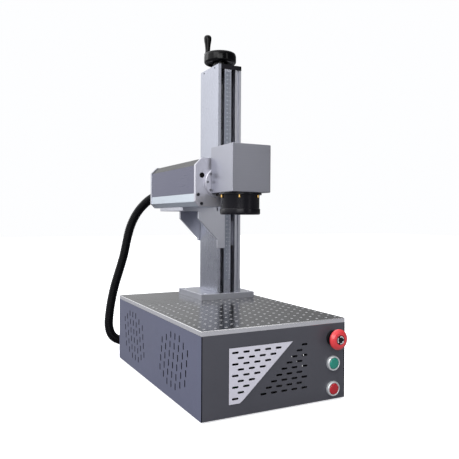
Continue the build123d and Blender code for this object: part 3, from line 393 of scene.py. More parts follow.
@dataclass(frozen=True)
class Finish:
    """One surface finish: its colour, gloss, grain and how strongly they vary.

    edge is the colour of faces whose normal has less than the split along the facing axis. Where
    Where the wall-shade flag is set, those faces are painted shade: they lose their gloss too, so the walls of slots
    and the cut edges of sheets look dark.
    """

    name: str
    color: tuple[float, float, float]
    roughness: float
    metallic: float = 0.0
    grain: Axis | None = None
    shade: float = 0.15
    spread: float = 0.12
    bump: float = 0.02
    scale: float = 900.0
    coat: float = 0.0
    dust: float = 0.04
    specular: float = 0.5
    transmission: float = 0.0
    edge: tuple[float, float, float] | None = None
    split: float = 0.9
    facing: Axis = Axis.Z
    hollow: bool = False

    def build(self, groups: SurfaceGroups) -> bpy.types.Material:
        """Make the material.

        Args:
            groups: the shared shader groups.

        Returns:
            A node material whose constants sit on the shader's own sockets.
        """
        material = bpy.data.materials.new(self.name)
        material.use_nodes = True
        tree = material.node_tree
        shader = tree.nodes["Principled BSDF"]
        plain = {"Metallic": self.metallic, "Coat Weight": self.coat, "Coat Roughness": COAT_ROUGHNESS,
                 "Specular IOR Level": self.specular, "Transmission Weight": self.transmission}
        for label, value in plain.items():
            shader.inputs[label].default_value = value
        values = {"Color": (*self.color, 1.0), "Shade": self.shade, "Roughness": self.roughness,
                  "Spread": self.spread}
        if self.grain is None:
            group, values["Grain"] = groups.coat, self.scale
        else:
            group, values["Scale"] = groups.brushed, [self.scale] * 3
            values["Scale"][self.grain.value] = self.scale / GRAIN_STRETCH
        skin = add_node(tree, "ShaderNodeGroup", {"node_tree": group}, values)
        base = self.two_tone(tree, shader, skin.outputs["Color"])
        dust = add_node(tree, "ShaderNodeGroup", {"node_tree": groups.wear}, {"Amount": self.dust, "Color": base})
        bump = add_node(tree, "ShaderNodeBump", None, {
            "Strength": min(1.0, self.bump * BUMP_GAIN), "Distance": BUMP_DISTANCE, "Height": skin.outputs["Height"]})
        tree.links.new(dust.outputs["Color"], shader.inputs["Base Color"])
        tree.links.new(skin.outputs["Roughness"], shader.inputs["Roughness"])
        tree.links.new(bump.outputs[0], shader.inputs["Normal"])
        return material

    def two_tone(self, tree: Tree, shader: bpy.types.Node, base: Socket) -> Socket:
        """Base colour where a face looks along the facing axis, and the edge colour elsewhere.

        Args:
            tree: the material's nodes.
            shader: the surface shader, whose gloss is taken off the edge faces where they are painted shade.
            base: the base colour.

        Returns:
            The mixed colour.
        """
        if self.edge is None:
            return base
        normal = split_vector(tree, "ShaderNodeNewGeometry", "True Normal")
        facing = math_node(tree, "ABSOLUTE", normal.outputs[self.facing.value])
        side = math_node(tree, "LESS_THAN", facing, self.split)
        # painted shade: the side faces lose their specular and coat, so slot walls look shadowed
        if self.hollow:
            kept = math_node(tree, "SUBTRACT", 1.0, side)
            for label, amount in (("Specular IOR Level", self.specular), ("Coat Weight", self.coat)):
                tree.links.new(math_node(tree, "MULTIPLY", kept, amount), shader.inputs[label])
        return mix_color(tree, side, base, (*self.edge, 1.0))


class Finishes:
    """Every finish of the machine, made once."""

    def __init__(self, groups: SurfaceGroups) -> None:
        """Build the materials by name."""
        x, y, z = Axis
        # paint finishes: slot walls and sheet edges are painted near-black shade with their gloss taken off
        paint_and_slot_shade = {"shade": 0.25, "coat": 0.1, "scale": 1400, "bump": 0.03, "edge": SLOT_PAINTED_SHADE, "hollow": True}
        lens = {"shade": 0.25, "coat": 0.6, "scale": 260, "bump": 0.05, "dust": 0.0}
        listed = [
            Finish("side_paint", (0.1, 0.108, 0.17), 0.42, facing=x, **paint_and_slot_shade),
            Finish("rear_paint", (0.1, 0.108, 0.17), 0.42, facing=y, **paint_and_slot_shade),
            # the front panel's slot walls are painted an even darker shade
            Finish("front_paint", (0.078, 0.079, 0.095), 0.4, facing=y, specular=0.4,
                   **{**paint_and_slot_shade, "shade": 0.35, "edge": (0.004, 0.004, 0.005)}),
            # the vent trim's slot walls are painted dark shade with their gloss taken off
            Finish("white_paint", (0.72, 0.71, 0.8), 0.38, shade=0.06, coat=0.2, scale=1200, dust=0.02,
                   edge=(0.02, 0.02, 0.024), facing=y, hollow=True),
            Finish("worktop_plate_metal", (0.105, 0.108, 0.115), 0.19, 0.92, y, 0.55, 0.2, 0.02, 700, dust=0.02,
                   edge=(0.95, 0.95, 0.97)),
            Finish("foot_rubber", (0.022, 0.022, 0.022), 0.78, scale=700, bump=0.06),
            Finish("zinc_plate", (0.42, 0.43, 0.45), 0.42, 0.9, z, 0.2, 0.2, 0.02, 500),
            Finish("black_plastic", (0.009, 0.009, 0.011), 0.42, scale=1600, bump=0.04, dust=0.02, specular=0.2),
            Finish("ground_steel", (0.56, 0.57, 0.6), 0.24, 1.0, z, 0.15, 0.15, 0.02, 1200),
            Finish("red_plastic", (0.78, 0.05, 0.06), 0.25, shade=0.1, coat=0.4, scale=500, bump=0.01, dust=0.02),
            Finish("white_print", (0.85, 0.85, 0.87), 0.5, shade=0.05, bump=0.01),
            Finish("bezel_chrome", (0.82, 0.85, 0.87), 0.24, 0.55, y, 0.05, 0.08, 0.01, dust=0.0),
            Finish("green_lens", (0.012, 0.27, 0.2), 0.2, **lens),
            Finish("red_lens", (0.5, 0.012, 0.022), 0.2, **lens),
            Finish("black_anodised", (0.014, 0.013, 0.018), 0.34, 0.5, y, 0.3, 0.12, dust=0.02, specular=0.3),
            Finish("board_green", (0.012, 0.13, 0.06), 0.35, shade=0.3, coat=0.3, scale=300),
            Finish("satin_aluminium", (0.56, 0.57, 0.63), 0.33, 0.97, z, 0.16, 0.14, dust=0.02),
            Finish("plate_aluminium", (0.6, 0.6, 0.66), 0.42, 0.75, z, 0.14, 0.14, dust=0.02),
            Finish("hole_rim", (0.52, 0.52, 0.54), 0.3, 0.9, z, 0.1, 0.1, 0.01, dust=0.0),
            Finish("column_skin", (0.42, 0.435, 0.5), 0.28, 0.97, z, 0.14, 0.12, 0.02, 1100, dust=0.02),
            Finish("tray_skin", (0.6, 0.66, 0.73), 0.34, 0.9, y, 0.12, 0.12, 0.02, 1000, dust=0.02),
            Finish("scale_plate", (0.3, 0.325, 0.39), 0.4, 0.7, z, 0.2, 0.15, 0.02, 1100),
            Finish("scale_print", (0.83, 0.85, 0.9), 0.5, shade=0.05, bump=0.01),
            Finish("conduit_skin", (0.003, 0.003, 0.004), 0.26, shade=0.3, scale=900, dust=0.004, specular=0.1),
            Finish("gloss_black", (0.0015, 0.0015, 0.002), 0.16, shade=0.3, spread=0.06, scale=300, bump=0.005,
                   dust=0.005, specular=0.22),
            Finish("turned_brass", (0.78, 0.5, 0.17), 0.26, 1.0, z, 0.15, 0.15),
            Finish("cover_skin", (0.006, 0.006, 0.008), 0.3, 0.0, y, 0.2, 0.15, dust=0.01, specular=0.3,
                   edge=(0.1, 0.103, 0.16), split=0.3),
            Finish("black_oxide", (0.03, 0.03, 0.036), 0.4, 0.8, y, 0.3, 0.2),
            Finish("head_aluminium", (0.31, 0.315, 0.36), 0.33, 0.98, x, 0.16, 0.12, dust=0.02),
            Finish("mirror_coat", (0.9, 0.82, 0.66), 0.05, 1.0, z, 0.02, 0.02, 0.0, 300, dust=0.0),
            Finish("lens_black", (0.006, 0.0055, 0.009), 0.24, 0.3, z, 0.3, 0.12, 0.01, dust=0.01, specular=0.4),
            Finish("lens_coating", (0.5, 0.62, 0.85), 0.04, shade=0.1, spread=0.02, transmission=0.85, bump=0.0,
                   dust=0.0),
            # near-black painted shade for the inside of a hole
            Finish("painted_shade_hollow", (0.004, 0.004, 0.005), 0.7, shade=0.1, dust=0.0, specular=0.1),
        ]
        self.made = {item.name: item.build(groups) for item in listed}

    def dress(self, piece: Piece, name: str) -> Piece:
        """Give a piece one finish in place of what it has."""
        piece.data.materials.clear()
        piece.data.materials.append(self.made[name])
        return piece


@dataclass
class SubAssembly:
    """Pieces that belong together and take their finishes from one set."""

    finishes: Finishes

    def fit(self, piece: Piece, finish: str, body: str, slot: str, *nodes: str) -> Piece:
        """Dress a new piece and put it in its place.

        Args:
            piece: the piece.
            finish: name of its finish.
            body: the body that it rides on.
            slot: not used.
            nodes: the nodes that it stands for, which are hidden.

        Returns:
            The same piece.
        """
        self.finishes.dress(piece, finish)
        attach(piece, body)
        if nodes:
            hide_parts(*nodes)
        LOG.info("piece %s on %s", piece.name, body)
        return piece


@dataclass
class CadDressing(SubAssembly):
    """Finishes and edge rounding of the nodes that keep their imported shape.

    Each row of looks is a finish, a rounding width in millimetres and the nodes that take them.
    """

    looks: tuple = (
        ("foot_rubber", 0.6, "rubber_feet"),
        ("zinc_plate", 0.4, "base_frame"),
        ("side_paint", 0.0, "left_side_panel right_side_panel"),
        ("front_paint", 0.0, "front_panel"),
        ("white_paint", 0.0, "vent_trim"),
        ("rear_paint", 0.0, "rear_panel"),
        ("worktop_plate_metal", 0.45, "worktop_plate"),
        ("black_plastic", 0.5, "estop_collar"),
        ("black_plastic", 0.3, "estop_stem"),
        ("black_plastic", 0.6, "contact_blocks"),
        ("black_plastic", 0.4, "power_inlet fan_frame rail_cap"),
        ("red_lens", 0.4, "power_rocker"),
        ("black_anodised", 0.6, "laser_source beam_collimator"),
        ("zinc_plate", 0.6, "power_supply"),
        ("board_green", 0.3, "control_board"),
        ("satin_aluminium", 0.3, "column_base_plate"),
        ("column_skin", 0.5, "column_housing"),
        ("satin_aluminium", 0.35, "right_rail"),
        ("column_skin", 0.35, "ruler_cover"),
        ("scale_plate", 0.1, "ruler_scale"),
        ("black_anodised", 0.5, "column_top_cap"),
        ("ground_steel", 0.3, "screw_bearings guide_rods guide_bushes"),
        ("satin_aluminium", 0.5, "foot_bracket nut_block front_gusset rear_gusset shelf_plate"),
        ("turned_brass", 0.4, "lead_nut"),
        ("tray_skin", 0.6, "beam_box_tray"),
        ("cover_skin", 0.5, "beam_box_cover"),
        ("plate_aluminium", 0.6, "adaptor_plate"),
        ("satin_aluminium", 0.6, "box_rear_plate"),
        ("plate_aluminium", 0.3, "beam_flange"),
        ("head_aluminium", 0.0, "galvo_cover"),
        ("head_aluminium", 0.4, "galvo_frame"),
        ("black_anodised", 0.4, "galvo_motors"),
        ("mirror_coat", 0.1, "x_mirror y_mirror"),
    )

    def build(self) -> None:
        """Dress each kept node and round its edges by its own width in millimetres."""
        for finish, width, nodes in self.looks:
            for node in nodes.split():
                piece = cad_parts[node]
                self.finishes.dress(piece, finish)
                if width:
                    soften(piece, width * MM)
                LOG.info("node %s in %s", node, finish)


# ---------------------------------------------------------------- sub-assemblies
@dataclass
class Conduit(SubAssembly):
    """Armoured fibre conduit from the beam box down to the cabinet's rear.

    radius, groove and pitch are in millimetres; reach is how many stations on each side the
    direction is averaged over.
    """

    radius: float = 12.0
    groove: float = 1.3
    pitch: float = 4.6
    segments: int = 28
    reach: int = 4
    route: tuple = (
        (-41, 271.5, 413), (-41, 306, 413), (-55, 336, 399), (-76, 355, 370), (-93, 361, 333),
        (-103.5, 360, 293), (-112, 358, 253), (-124, 358, 214), (-136, 360, 175), (-145, 361, 136),
        (-151, 361, 98), (-154, 361, 62), (-144, 362, 32), (-116, 365, 17), (-79, 368, 15),
        (-42, 367, 17), (-7, 357, 22), (26, 335, 27), (45, 304, 29), (45, 268.5, 29),
    )

    def centreline(self) -> np.ndarray:
        """Points along the smooth line that takes the route's points as its control points."""
        curve = bpy.data.curves.new("conduit_route", "CURVE")
        curve.dimensions = "3D"
        curve.resolution_u = 24
        spline = curve.splines.new("NURBS")
        spline.points.add(len(self.route) - 1)
        for point, place in zip(spline.points, self.route):
            point.co = (*[value * MM for value in place], 1.0)
        spline.order_u = 3
        spline.use_endpoint_u = True
        return read_curve(curve)[0]

    def build(self) -> None:
        """Sweep a corrugated tube.

        Formula: stations are spaced evenly by arc length; the radius at each is the full radius
        less the groove depth times a power of the cosine of its place in the pitch; two normals
        across the tangent come from a fixed direction that the line never follows.
        """
        line = self.centreline()
        step = np.linalg.norm(np.diff(line, axis=0), axis=1)
        run = np.concatenate([[0.0], np.cumsum(step)])
        ribs = int(run[-1] / (self.pitch * MM))
        stations = np.array([0.0, 0.18, 0.34, 0.66, 0.82])
        phase = (np.arange(ribs)[:, None] + stations[None, :]).ravel()
        phase = np.append(phase, ribs)
        s = phase / ribs * run[-1]
        path = np.stack([np.interp(s, run, line[:, i]) for i in range(3)], -1)
        tangent = np.gradient(path, s, axis=0)
        window = np.ones(2 * self.reach + 1) / (2 * self.reach + 1)
        smooth = [np.convolve(np.pad(tangent[:, i], self.reach, "edge"), window, "valid") for i in range(3)]
        tangent = np.stack(smooth, -1)
        tangent /= np.linalg.norm(tangent, axis=1, keepdims=True)
        fixed = np.array([0.55, 0.6, 0.58])
        side = np.cross(tangent, fixed)
        side /= np.linalg.norm(side, axis=1, keepdims=True)
        up = np.cross(side, tangent)
        dip = np.cos(phase * TAU) * 0.5 + 0.5
        radius = (self.radius - self.groove * dip**2) * MM
        angle = np.arange(self.segments) * TAU / self.segments
        ring = np.cos(angle)[None, :, None] * side[:, None, :] + np.sin(angle)[None, :, None] * up[:, None, :]
        points = (path[:, None, :] + ring * radius[:, None, None]).reshape(-1, 3)
        faces = grid_faces(len(path), self.segments, True).tolist()
        last = (len(path) - 1) * self.segments
        faces += [list(range(self.segments)), list(range(last, last + self.segments))]
        piece = new_piece("fibre_conduit", points, faces)
        self.finishes.dress(piece, "conduit_skin")
        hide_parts("fibre_cable")
        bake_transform(piece)
        LOG.info("conduit length %.3f m", run[-1])


@dataclass
class CrankWheel(SubAssembly):
    """Solid handwheel with its turning grip."""

    radius: float = 40.0
    low: float = 739.0
    high: float = 764.0
    hub: float = 725.3

    def build(self) -> None:
        """Turn the wheel's bowl, its hub cap and the waisted grip."""
        _, _, middle = node_box("lead_screw")
        centre = (middle[0], middle[1], 0.0)
        lo, hi, r, hub = self.low, self.high, self.radius, self.hub
        bowl = [(0, hi - 1.2, 0), (r - 12, hi - 1.2, 2), (r - 8, hi, 3), (r - 2.6, hi, 4.0), (r, hi - 6, 6),
                (r, lo + 3.5, 3), (r - 2.6, lo, 2), (r - 5.5, lo, 2.4), (r - 9.5, lo + 6.2, 4), (19, lo + 6.2, 3),
                (17, hub + 1.7, 2), (15, hub, 1), (0, hub, 0)]
        wheel = lathe("handwheel_body", bowl, centre, Axis.Z, 96, 7)
        self.fit(wheel, "gloss_black", "crank", "gloss_black", "handwheel")
        low, high, middle = node_box("wheel_grip")
        hold = (middle[0], middle[1], 0.0)
        top, foot = high[2] / MM, low[2] / MM
        disc = [(0, hi - 2, 0), (8.6, hi - 2, 0), (8.6, hi + 0.1, 0.4), (7.4, hi + 0.35, 0.3), (0, hi + 0.35, 0)]
        boss = lathe("grip_boss", disc, hold, Axis.Z, 40)
        self.fit(boss, "gloss_black", "crank", "gloss_black")
        shape = [(0, foot, 0), (5.4, foot, 0.5), (6.6, foot + 1.2, 1), (6.0, foot + 9, 6), (7.2, foot + 22, 10),
                 (9.2, top - 13, 7), (9.4, top - 4.5, 4.4), (5.8, top, 3.2), (0, top, 0)]
        grip = lathe("crank_grip", shape, hold, Axis.Z, 48, 9)
        self.fit(grip, "gloss_black", "grip", "gloss_black", "wheel_grip")


@dataclass
class LeadScrew(SubAssembly):
    """Trapezoidal thread of the lift."""

    radius: float = 6.0
    lead: float = 5.0
    depth: float = 1.6
    journal: float = 5.0
    plain_foot: float = 9.0
    plain_top: float = 31.0

    def build(self) -> None:
        """Make the threaded bar.

        Formula: radius falls from the crest by the depth times a clipped sine of height over
        lead less angle over a full turn, so the groove climbs one lead per turn.
        """
        low, high, middle = node_box("lead_screw")
        rows, columns = int((high[2] - low[2]) / MM * 1.6), 20
        z = np.linspace(low[2] / MM, high[2] / MM, rows)[:, None]
        angle = (np.arange(columns) * TAU / columns)[None, :]
        wave = np.sin(TAU * z / self.lead - angle)
        radial = self.radius - self.depth * np.clip(wave * 1.8 + 0.5, 0.0, 1.0)
        plain = (z < low[2] / MM + self.plain_foot) | (z > high[2] / MM - self.plain_top)
        radial = np.where(plain, self.journal, radial)
        points = place_along(radial * MM, np.repeat(z, columns, 1) * MM, angle, Axis.Z).reshape(-1, 3)
        points += np.array([middle[0], middle[1], 0.0])
        faces = grid_faces(rows, columns, True).tolist()
        faces += [list(range(columns)), list(range((rows - 1) * columns, rows * columns))]
        piece = new_piece("threaded_screw", points, faces)
        self.fit(piece, "ground_steel", "crank", "steel", "lead_screw")


@dataclass
class ControlPanel(SubAssembly):
    """Emergency stop and the two push buttons."""

    x: float = 125.0
    front: float = -245.5
    estop_z: float = 123.0
    estop_reach: float = 26.0
    buttons: tuple = ((74.0, "start_button", "green_lens", "start_push", "green_plastic"),
                      (24.5, "stop_button", "red_lens", "stop_push", "signal_red"))

    def arrow(self, turn: float) -> np.ndarray:
        """Outline of one curved arrow: an arc band whose end widens to a head, in millimetres."""
        t = np.linspace(0.0, 1.0, 14)
        angle = turn + t * math.radians(62)
        outer = np.stack([7.4 * np.cos(angle), 7.4 * np.sin(angle)], -1)
        inner = np.stack([6.0 * np.cos(angle[::-1]), 6.0 * np.sin(angle[::-1])], -1)
        tip = turn + math.radians(88)
        base = turn + math.radians(62)
        head = np.array([[r * math.cos(a), r * math.sin(a)] for r, a in ((8.4, base), (6.7, tip), (5.0, base))])
        return np.concatenate([outer, head, inner])

    def build(self) -> None:
        """Turn the mushroom, its arrows, the plated bezels and the two lenses."""
        cx, f = self.x * MM, self.front
        centre = (cx, 0.0, self.estop_z * MM)
        face = f - self.estop_reach
        head = [(0, face + 0.9, 0), (9.2, face + 0.9, 0.4), (9.8, face + 0.1, 0.5), (14.5, face + 0.5, 3),
                (20, face + 5.5, 5), (20, face + 9.5, 1.5), (15.2, face + 13, 2), (10, face + 14, 0.6),
                (0, face + 14, 0)]
        mushroom = lathe("estop_mushroom_cap", head, centre, Axis.Y, 96, 7)
        self.fit(mushroom, "red_plastic", "estop_mushroom", "red_plastic", "estop_head")
        badge = [(0, face + 0.45, 0), (8.9, face + 0.45, 0.3), (9.1, face + 0.95, 0), (0, face + 0.95, 0)]
        disc = lathe("estop_centre", badge, centre, Axis.Y, 64)
        self.fit(disc, "black_plastic", "estop_mushroom", "black_plastic")
        for number in range(3):
            outline = self.arrow(math.radians(20 + 120 * number)) * MM + np.array([cx, self.estop_z * MM])
            arrow = prism(f"estop_arrow_{number + 1}", outline, ((face + 0.3) * MM, (face + 0.5) * MM))
            self.fit(arrow, "white_print", "estop_mushroom", "red_plastic")
        ring = [(10.9, f, 0), (10.9, f - 6.2, 0.4), (11.6, f - 7, 0.4), (13.4, f - 7, 0.8), (14.5, f - 5.4, 1),
                (14.5, f - 1.0, 0.4), (14.1, f, 0), (10.9, f, 0)]
        places = [(cx, 0.0, row[0] * MM) for row in self.buttons]
        bezels = many_lathes("button_rings", ring, places, Axis.Y, 72)
        self.fit(bezels, "bezel_chrome", "machine", "bezel_metal", "button_bezels")
        lens = [(0, f - 8.5, 0), (7, f - 8.45, 4), (9.8, f - 7.8, 1), (10.6, f - 6.6, 0.6), (10.6, f - 3.5, 0.3),
                (9, f - 3.5, 0), (9, f + 16, 0.3), (0, f + 16, 0)]
        for z, node, finish, body, slot in self.buttons:
            cap = lathe(f"{node}_lens", lens, (cx, 0.0, z * MM), Axis.Y, 64, 6)
            self.fit(cap, finish, body, slot, node)


@dataclass
class ScaleMarks(SubAssembly):
    """Millimetre scale on the column's front cover."""

    digit: float = 3.6
    margin: float = 3.0

    def build(self) -> None:
        """Lay ticks and generic numbers on the scale plate.

        Formula: tick i stands i millimetres above the plate's foot; every tenth is longest and
        every fifth middling, and each decade has its number beside it.
        """
        low, high, _ = node_box("ruler_scale")
        front, foot = low[1], low[2] + self.margin * MM
        count = int((high[2] - low[2]) / MM) - 4
        i = np.arange(count)
        z = foot + i * MM
        length = np.where(i % 10 == 0, 4.6, np.where(i % 5 == 0, 3.2, 2.0)) * MM
        half = np.where(i % 10 == 0, 0.22, 0.13) * MM
        right = high[0] - 0.0012
        n = np.ones(count)
        near, far = n * (front - 0.00006), n * (front + 0.0001)
        boxes = np.stack([right - length, near, z - half, n * right, far, z + half], -1)
        ticks = slabs("scale_ticks", boxes)
        self.fit(ticks, "scale_print", "machine", "scale_print")
        points, faces, total = [], [], 0
        for decade in range(1, count // 10 + 1):
            text = bpy.data.curves.new("label", "FONT")
            text.body = str(decade)
            text.size = self.digit * MM * 1.35
            text.align_x, text.align_y = "CENTER", "CENTER"
            text.resolution_u = 2
            outline, polygons = read_curve(text)
            across, height, _ = outline.T
            depth = np.full(len(across), front - 0.00008)
            points.append(np.stack([across + low[0] + 0.0055, depth, height + foot + decade * 0.01], -1))
            faces += [[number + total for number in row] for row in polygons]
            total += len(across)
        mesh = bpy.data.meshes.new("scale_numbers")
        mesh.from_pydata(np.concatenate(points).tolist(), [], faces)
        self.fit(link_mesh("scale_numbers", mesh), "scale_print", "machine", "scale_print")


@dataclass
class ScanHead(SubAssembly):
    """Scan lens barrel, its glass and its thumb screws."""

    screws: int = 6
    screw_ring: float = 42.9

    def build(self) -> None:
        """Turn the barrel with its ring grooves, the domed glass and the brass screws."""
        low, high, middle = node_box("lens_barrel")
        cx, cy = middle[0], middle[1]
        centre = (cx, cy, 0.0)
        lo, hi = low[2] / MM, high[2] / MM
        barrel = [(33, lo + 3, 0), (35.5, lo + 0.8, 0.6), (37, lo, 0.5), (40.2, lo, 1.2), (42, lo + 2, 1.8),
                  (42, lo + 11.6, 0.7), (41.4, lo + 12.3, 0.3), (40.3, lo + 12.5, 0.2), (40.3, lo + 13.1, 0.2),
                  (40.5, lo + 13.4, 0.3), (40.5, hi - 4, 0.6), (45, hi - 4, 0.4), (45, hi, 0.3), (33, hi, 0),
                  (33, lo + 3, 0)]
        tube = lathe("scan_lens_barrel", barrel, centre, Axis.Z, 128, 4)
        self.fit(tube, "lens_black", "carriage", "lens_black", "lens_barrel")
        dome = [(0, lo + 4.4, 0), (18, lo + 4.6, 6), (32.6, lo + 6.2, 0.4), (32.9, lo + 9, 0), (0, lo + 9, 0)]
        glass = lathe("scan_lens_glass", dome, centre, Axis.Z, 96, 8)
        self.fit(glass, "lens_coating", "carriage", "lens_glass", "lens_glass")
        ring = self.screw_ring * MM
        angle = np.arange(self.screws) * TAU / self.screws
        places = [(cx + ring * math.cos(t), cy + ring * math.sin(t), 0.0) for t in angle]
        top = hi - 4.0
        pin = [(0, top - 7, 0), (1.5, top - 7, 0.3), (2, top - 6.2, 0.3), (2, top - 2.4, 0.2), (1.3, top - 2.2, 0.1),
               (1.3, top - 1.4, 0.1), (2, top - 1.2, 0.1), (2, top, 0), (0, top, 0)]
        thumbs = many_lathes("thumb_screws", pin, places, Axis.Z, 24)
        self.fit(thumbs, "turned_brass", "carriage", "brass", "lens_screws")


@dataclass
class Fasteners(SubAssembly):
    """Socket head screws with real sockets, and the cable glands."""

    def socket_screws(
        self, name: str, centres: list, axis: Axis, sign: float, radius: float, height: float
    ) -> Piece:
        """Cap screws seen from their heads.

        Args:
            name: piece name.
            centres: places of the seats in metres.
            axis: direction of the screws.
            sign: +1 where the head points up the axis, -1 where it points down it.
            radius: head radius in millimetres.
            height: head height in millimetres.

        Returns:
            One mesh with every screw.
        """
        h = height * sign
        shape = [(0, 0, 0), (radius, 0, 0), (radius, h, radius * 0.16), (radius * 0.52, h, 0.05),
                 (radius * 0.5, h * 0.45, 0), (0, h * 0.4, 0)]
        return many_lathes(name, shape, centres, axis, 24)

    def gland(self, name: str, node: str, body: str) -> None:
        """Hexagon nut, ribbed dome and sealing lip along Y.

        Formula: radius is the hexagon's support distance over the cosine of the angle from the
        nearest flat, blended to a circle with a shallow cosine knurl along the dome.
        """
        low, _, middle = node_box(node)
        rows = np.array([[0, 0, 1], [15, 0, 1], [15.5, 0.5, 1], [15.5, 6.4, 1], [15.1, 7, 1], [14.7, 7, 0],
                         [14.7, 13.5, 0], [14.2, 15.6, 0], [13.2, 17.4, 0], [12.4, 18, 0], [0, 18, 0]], float)
        columns = 72
        angle = np.arange(columns) * TAU / columns
        off = np.mod(angle, TAU / 6) - TAU / 12
        hexagon = 1.0 / np.cos(off)
        knurl = 1.0 + 0.018 * np.cos(angle * 24)
        radial = rows[:, :1] * np.where(rows[:, 2:3] > 0.5, hexagon[None, :] * 0.995, knurl[None, :])
        height = np.repeat(rows[:, 1:2], columns, 1)
        points = place_along(radial * MM, height * MM, angle[None, :], Axis.Y).reshape(-1, 3)
        points += np.array([middle[0], low[1], middle[2]])
        piece = new_piece(name, points, grid_faces(len(rows), columns, True))
        edge = piece.modifiers.new("flat", "EDGE_SPLIT")
        edge.split_angle = math.radians(35)
        self.fit(piece, "black_plastic", body, "black_plastic", node)

    def build(self) -> None:
        """Place every visible screw and both glands."""
        low, _, middle = node_box("adaptor_plate")
        cx, face, cz = middle[0], low[1], middle[2]
        offsets = ((-46.2, -26.5), (-38.4, -45.5), (46.2, -26.5), (38.4, -45.5), (46.2, 26.5))
        places = [(cx + dx * MM, face, cz + dz * MM) for dx, dz in offsets]
        plate = self.socket_screws("plate_screws", places, Axis.Y, -1.0, 3.3, 2.9)
        self.fit(plate, "black_oxide", "carriage", "black_steel", "adaptor_screws")
        seat = node_box("beam_flange")[0][1] + 0.0012
        angle = np.radians([100, 140, 180, 220, 260])
        places = [(cx + 0.0265 * math.cos(t), seat, cz + 0.0265 * math.sin(t)) for t in angle]
        flange = self.socket_screws("flange_screws", places, Axis.Y, -1.0, 2.4, 2.0)
        self.fit(flange, "black_oxide", "carriage", "black_steel")
        port = [(0, 2.0, 0), (4.7, 2.0, 0), (4.7, 0.15, 0.1), (5.6, 0.0, 0.1), (5.7, -0.25, 0.1), (4.4, -0.25, 0.1),
                (4.3, 1.6, 0.1), (0, 1.6, 0)]
        # the aiming port's pocket is painted near-black shade
        hole = lathe("aiming_port", port, (cx - 0.0371, face, cz + 0.0147), Axis.Y, 40)
        self.fit(hole, "painted_shade_hollow", "carriage", "black_aluminium")
        _, high, middle = node_box("column_base_plate")
        seat = high[2] - 0.0065
        places = [(middle[0] + i * 0.059, middle[1] + j * 0.058, seat) for i in (-1, 1) for j in (-1, 1)]
        base = self.socket_screws("base_screws", places, Axis.Z, 1.0, 5.0, 6.0)
        self.fit(base, "ground_steel", "machine", "steel", "base_plate_screws")
        low, high, _ = node_box("column_housing")
        places = [(low[0] + 0.0003, low[1] + dy, high[2] - 0.006) for dy in (0.02, 0.081)]
        side = self.socket_screws("column_side_screws", places, Axis.X, -1.0, 1.9, 0.9)
        self.fit(side, "black_oxide", "machine", "black_steel")
        self.gland("box_gland_nut", "box_gland", "carriage")
        self.gland("cabinet_gland_nut", "cabinet_gland", "machine")


@dataclass
class HoleRims(SubAssembly):
    """Turned bright rims of the worktop's tapped holes.

    pitch, start and keep_off, the room kept round the column's base plate, are in millimetres.
    """

    count: int = 14
    pitch: float = 22.0
    start: tuple = (-143.0, -229.5)
    keep_off: float = 4.0

    def build(self) -> None:
        """Place one rim round each hole that stays clear of the column's base plate."""
        top = node_box("worktop_plate")[1][2] / MM
        low, high, _ = node_box("column_base_plate")
        i = np.arange(self.count) * self.pitch
        x, y = np.meshgrid((self.start[0] + i) * MM, (self.start[1] + i) * MM)
        spots = np.stack([x.ravel(), y.ravel()], -1)
        room = self.keep_off * MM
        covered = np.all((spots > low[:2] - room) & (spots < high[:2] + room), axis=1)
        places = [(*spot, 0.0) for spot in spots[~covered].tolist()]
        ring = [(2.4, top - 1.0, 0), (2.4, top - 0.3, 0), (2.55, top + 0.12, 0.1), (2.8, top + 0.1, 0.1),
                (2.9, top - 0.1, 0)]
        rims = many_lathes("hole_rims", ring, places, Axis.Z, 16)
        self.fit(rims, "hole_rim", "machine", "worktop_metal")


@dataclass
class CoolingFan(SubAssembly):
    """Fan rotor behind the rear side vents."""

    blades: int = 7
    root: float = 14.6
    tip: float = 36.6
    twist: float = 0.62
    lean: float = 0.3
    thickness: float = 0.045

    def build(self) -> None:
        """Sweep the blades.

        Formula: a blade point sits at radius r from hub to tip, at an angle that leans forward
        with r and runs across the fan's depth, so the blade is a twisted curved sheet.
        """
        low, high, middle = node_box("fan_rotor")
        cy, cz = middle[1], middle[2]
        points, faces, count = [], [], 0
        r = np.linspace(self.root, self.tip, 8)[:, None]
        d = np.linspace(0.0, 1.0, 6)[None, :]
        depth = (high[0] - low[0]) / MM - 3.0
        for blade in range(self.blades):
            angle = blade * TAU / self.blades + d * self.twist + (r - self.root) / (self.tip - self.root) * self.lean
            x = np.repeat(low[0] + (1.2 + d * depth) * MM, len(r), 0)
            for side, shift in ((0, 0.0), (1, self.thickness)):
                across, rise = r * MM * np.cos(angle + shift), r * MM * np.sin(angle + shift)
                sheet = np.stack([x, cy + across, cz + rise], -1).reshape(-1, 3)
                quads = grid_faces(len(r), d.size, False, count)
                points.append(sheet)
                faces.append(quads if side else quads[:, ::-1])
                count += len(sheet)
        profile = rounded([(0, 1, 0), (15, 1, 1.5), (15, depth + 1, 0.5), (0, depth + 1, 0)])
        hub, hub_faces = lathe_points(profile, (low[0], cy, cz), Axis.X, 40)
        points.append(hub)
        faces.append(hub_faces + count)
        mesh = bpy.data.meshes.new("fan_blades")
        mesh.from_pydata(np.concatenate(points).tolist(), [], np.concatenate(faces).tolist())
        self.fit(link_mesh("fan_blades", mesh), "black_plastic", "fan", "black_plastic", "fan_rotor")


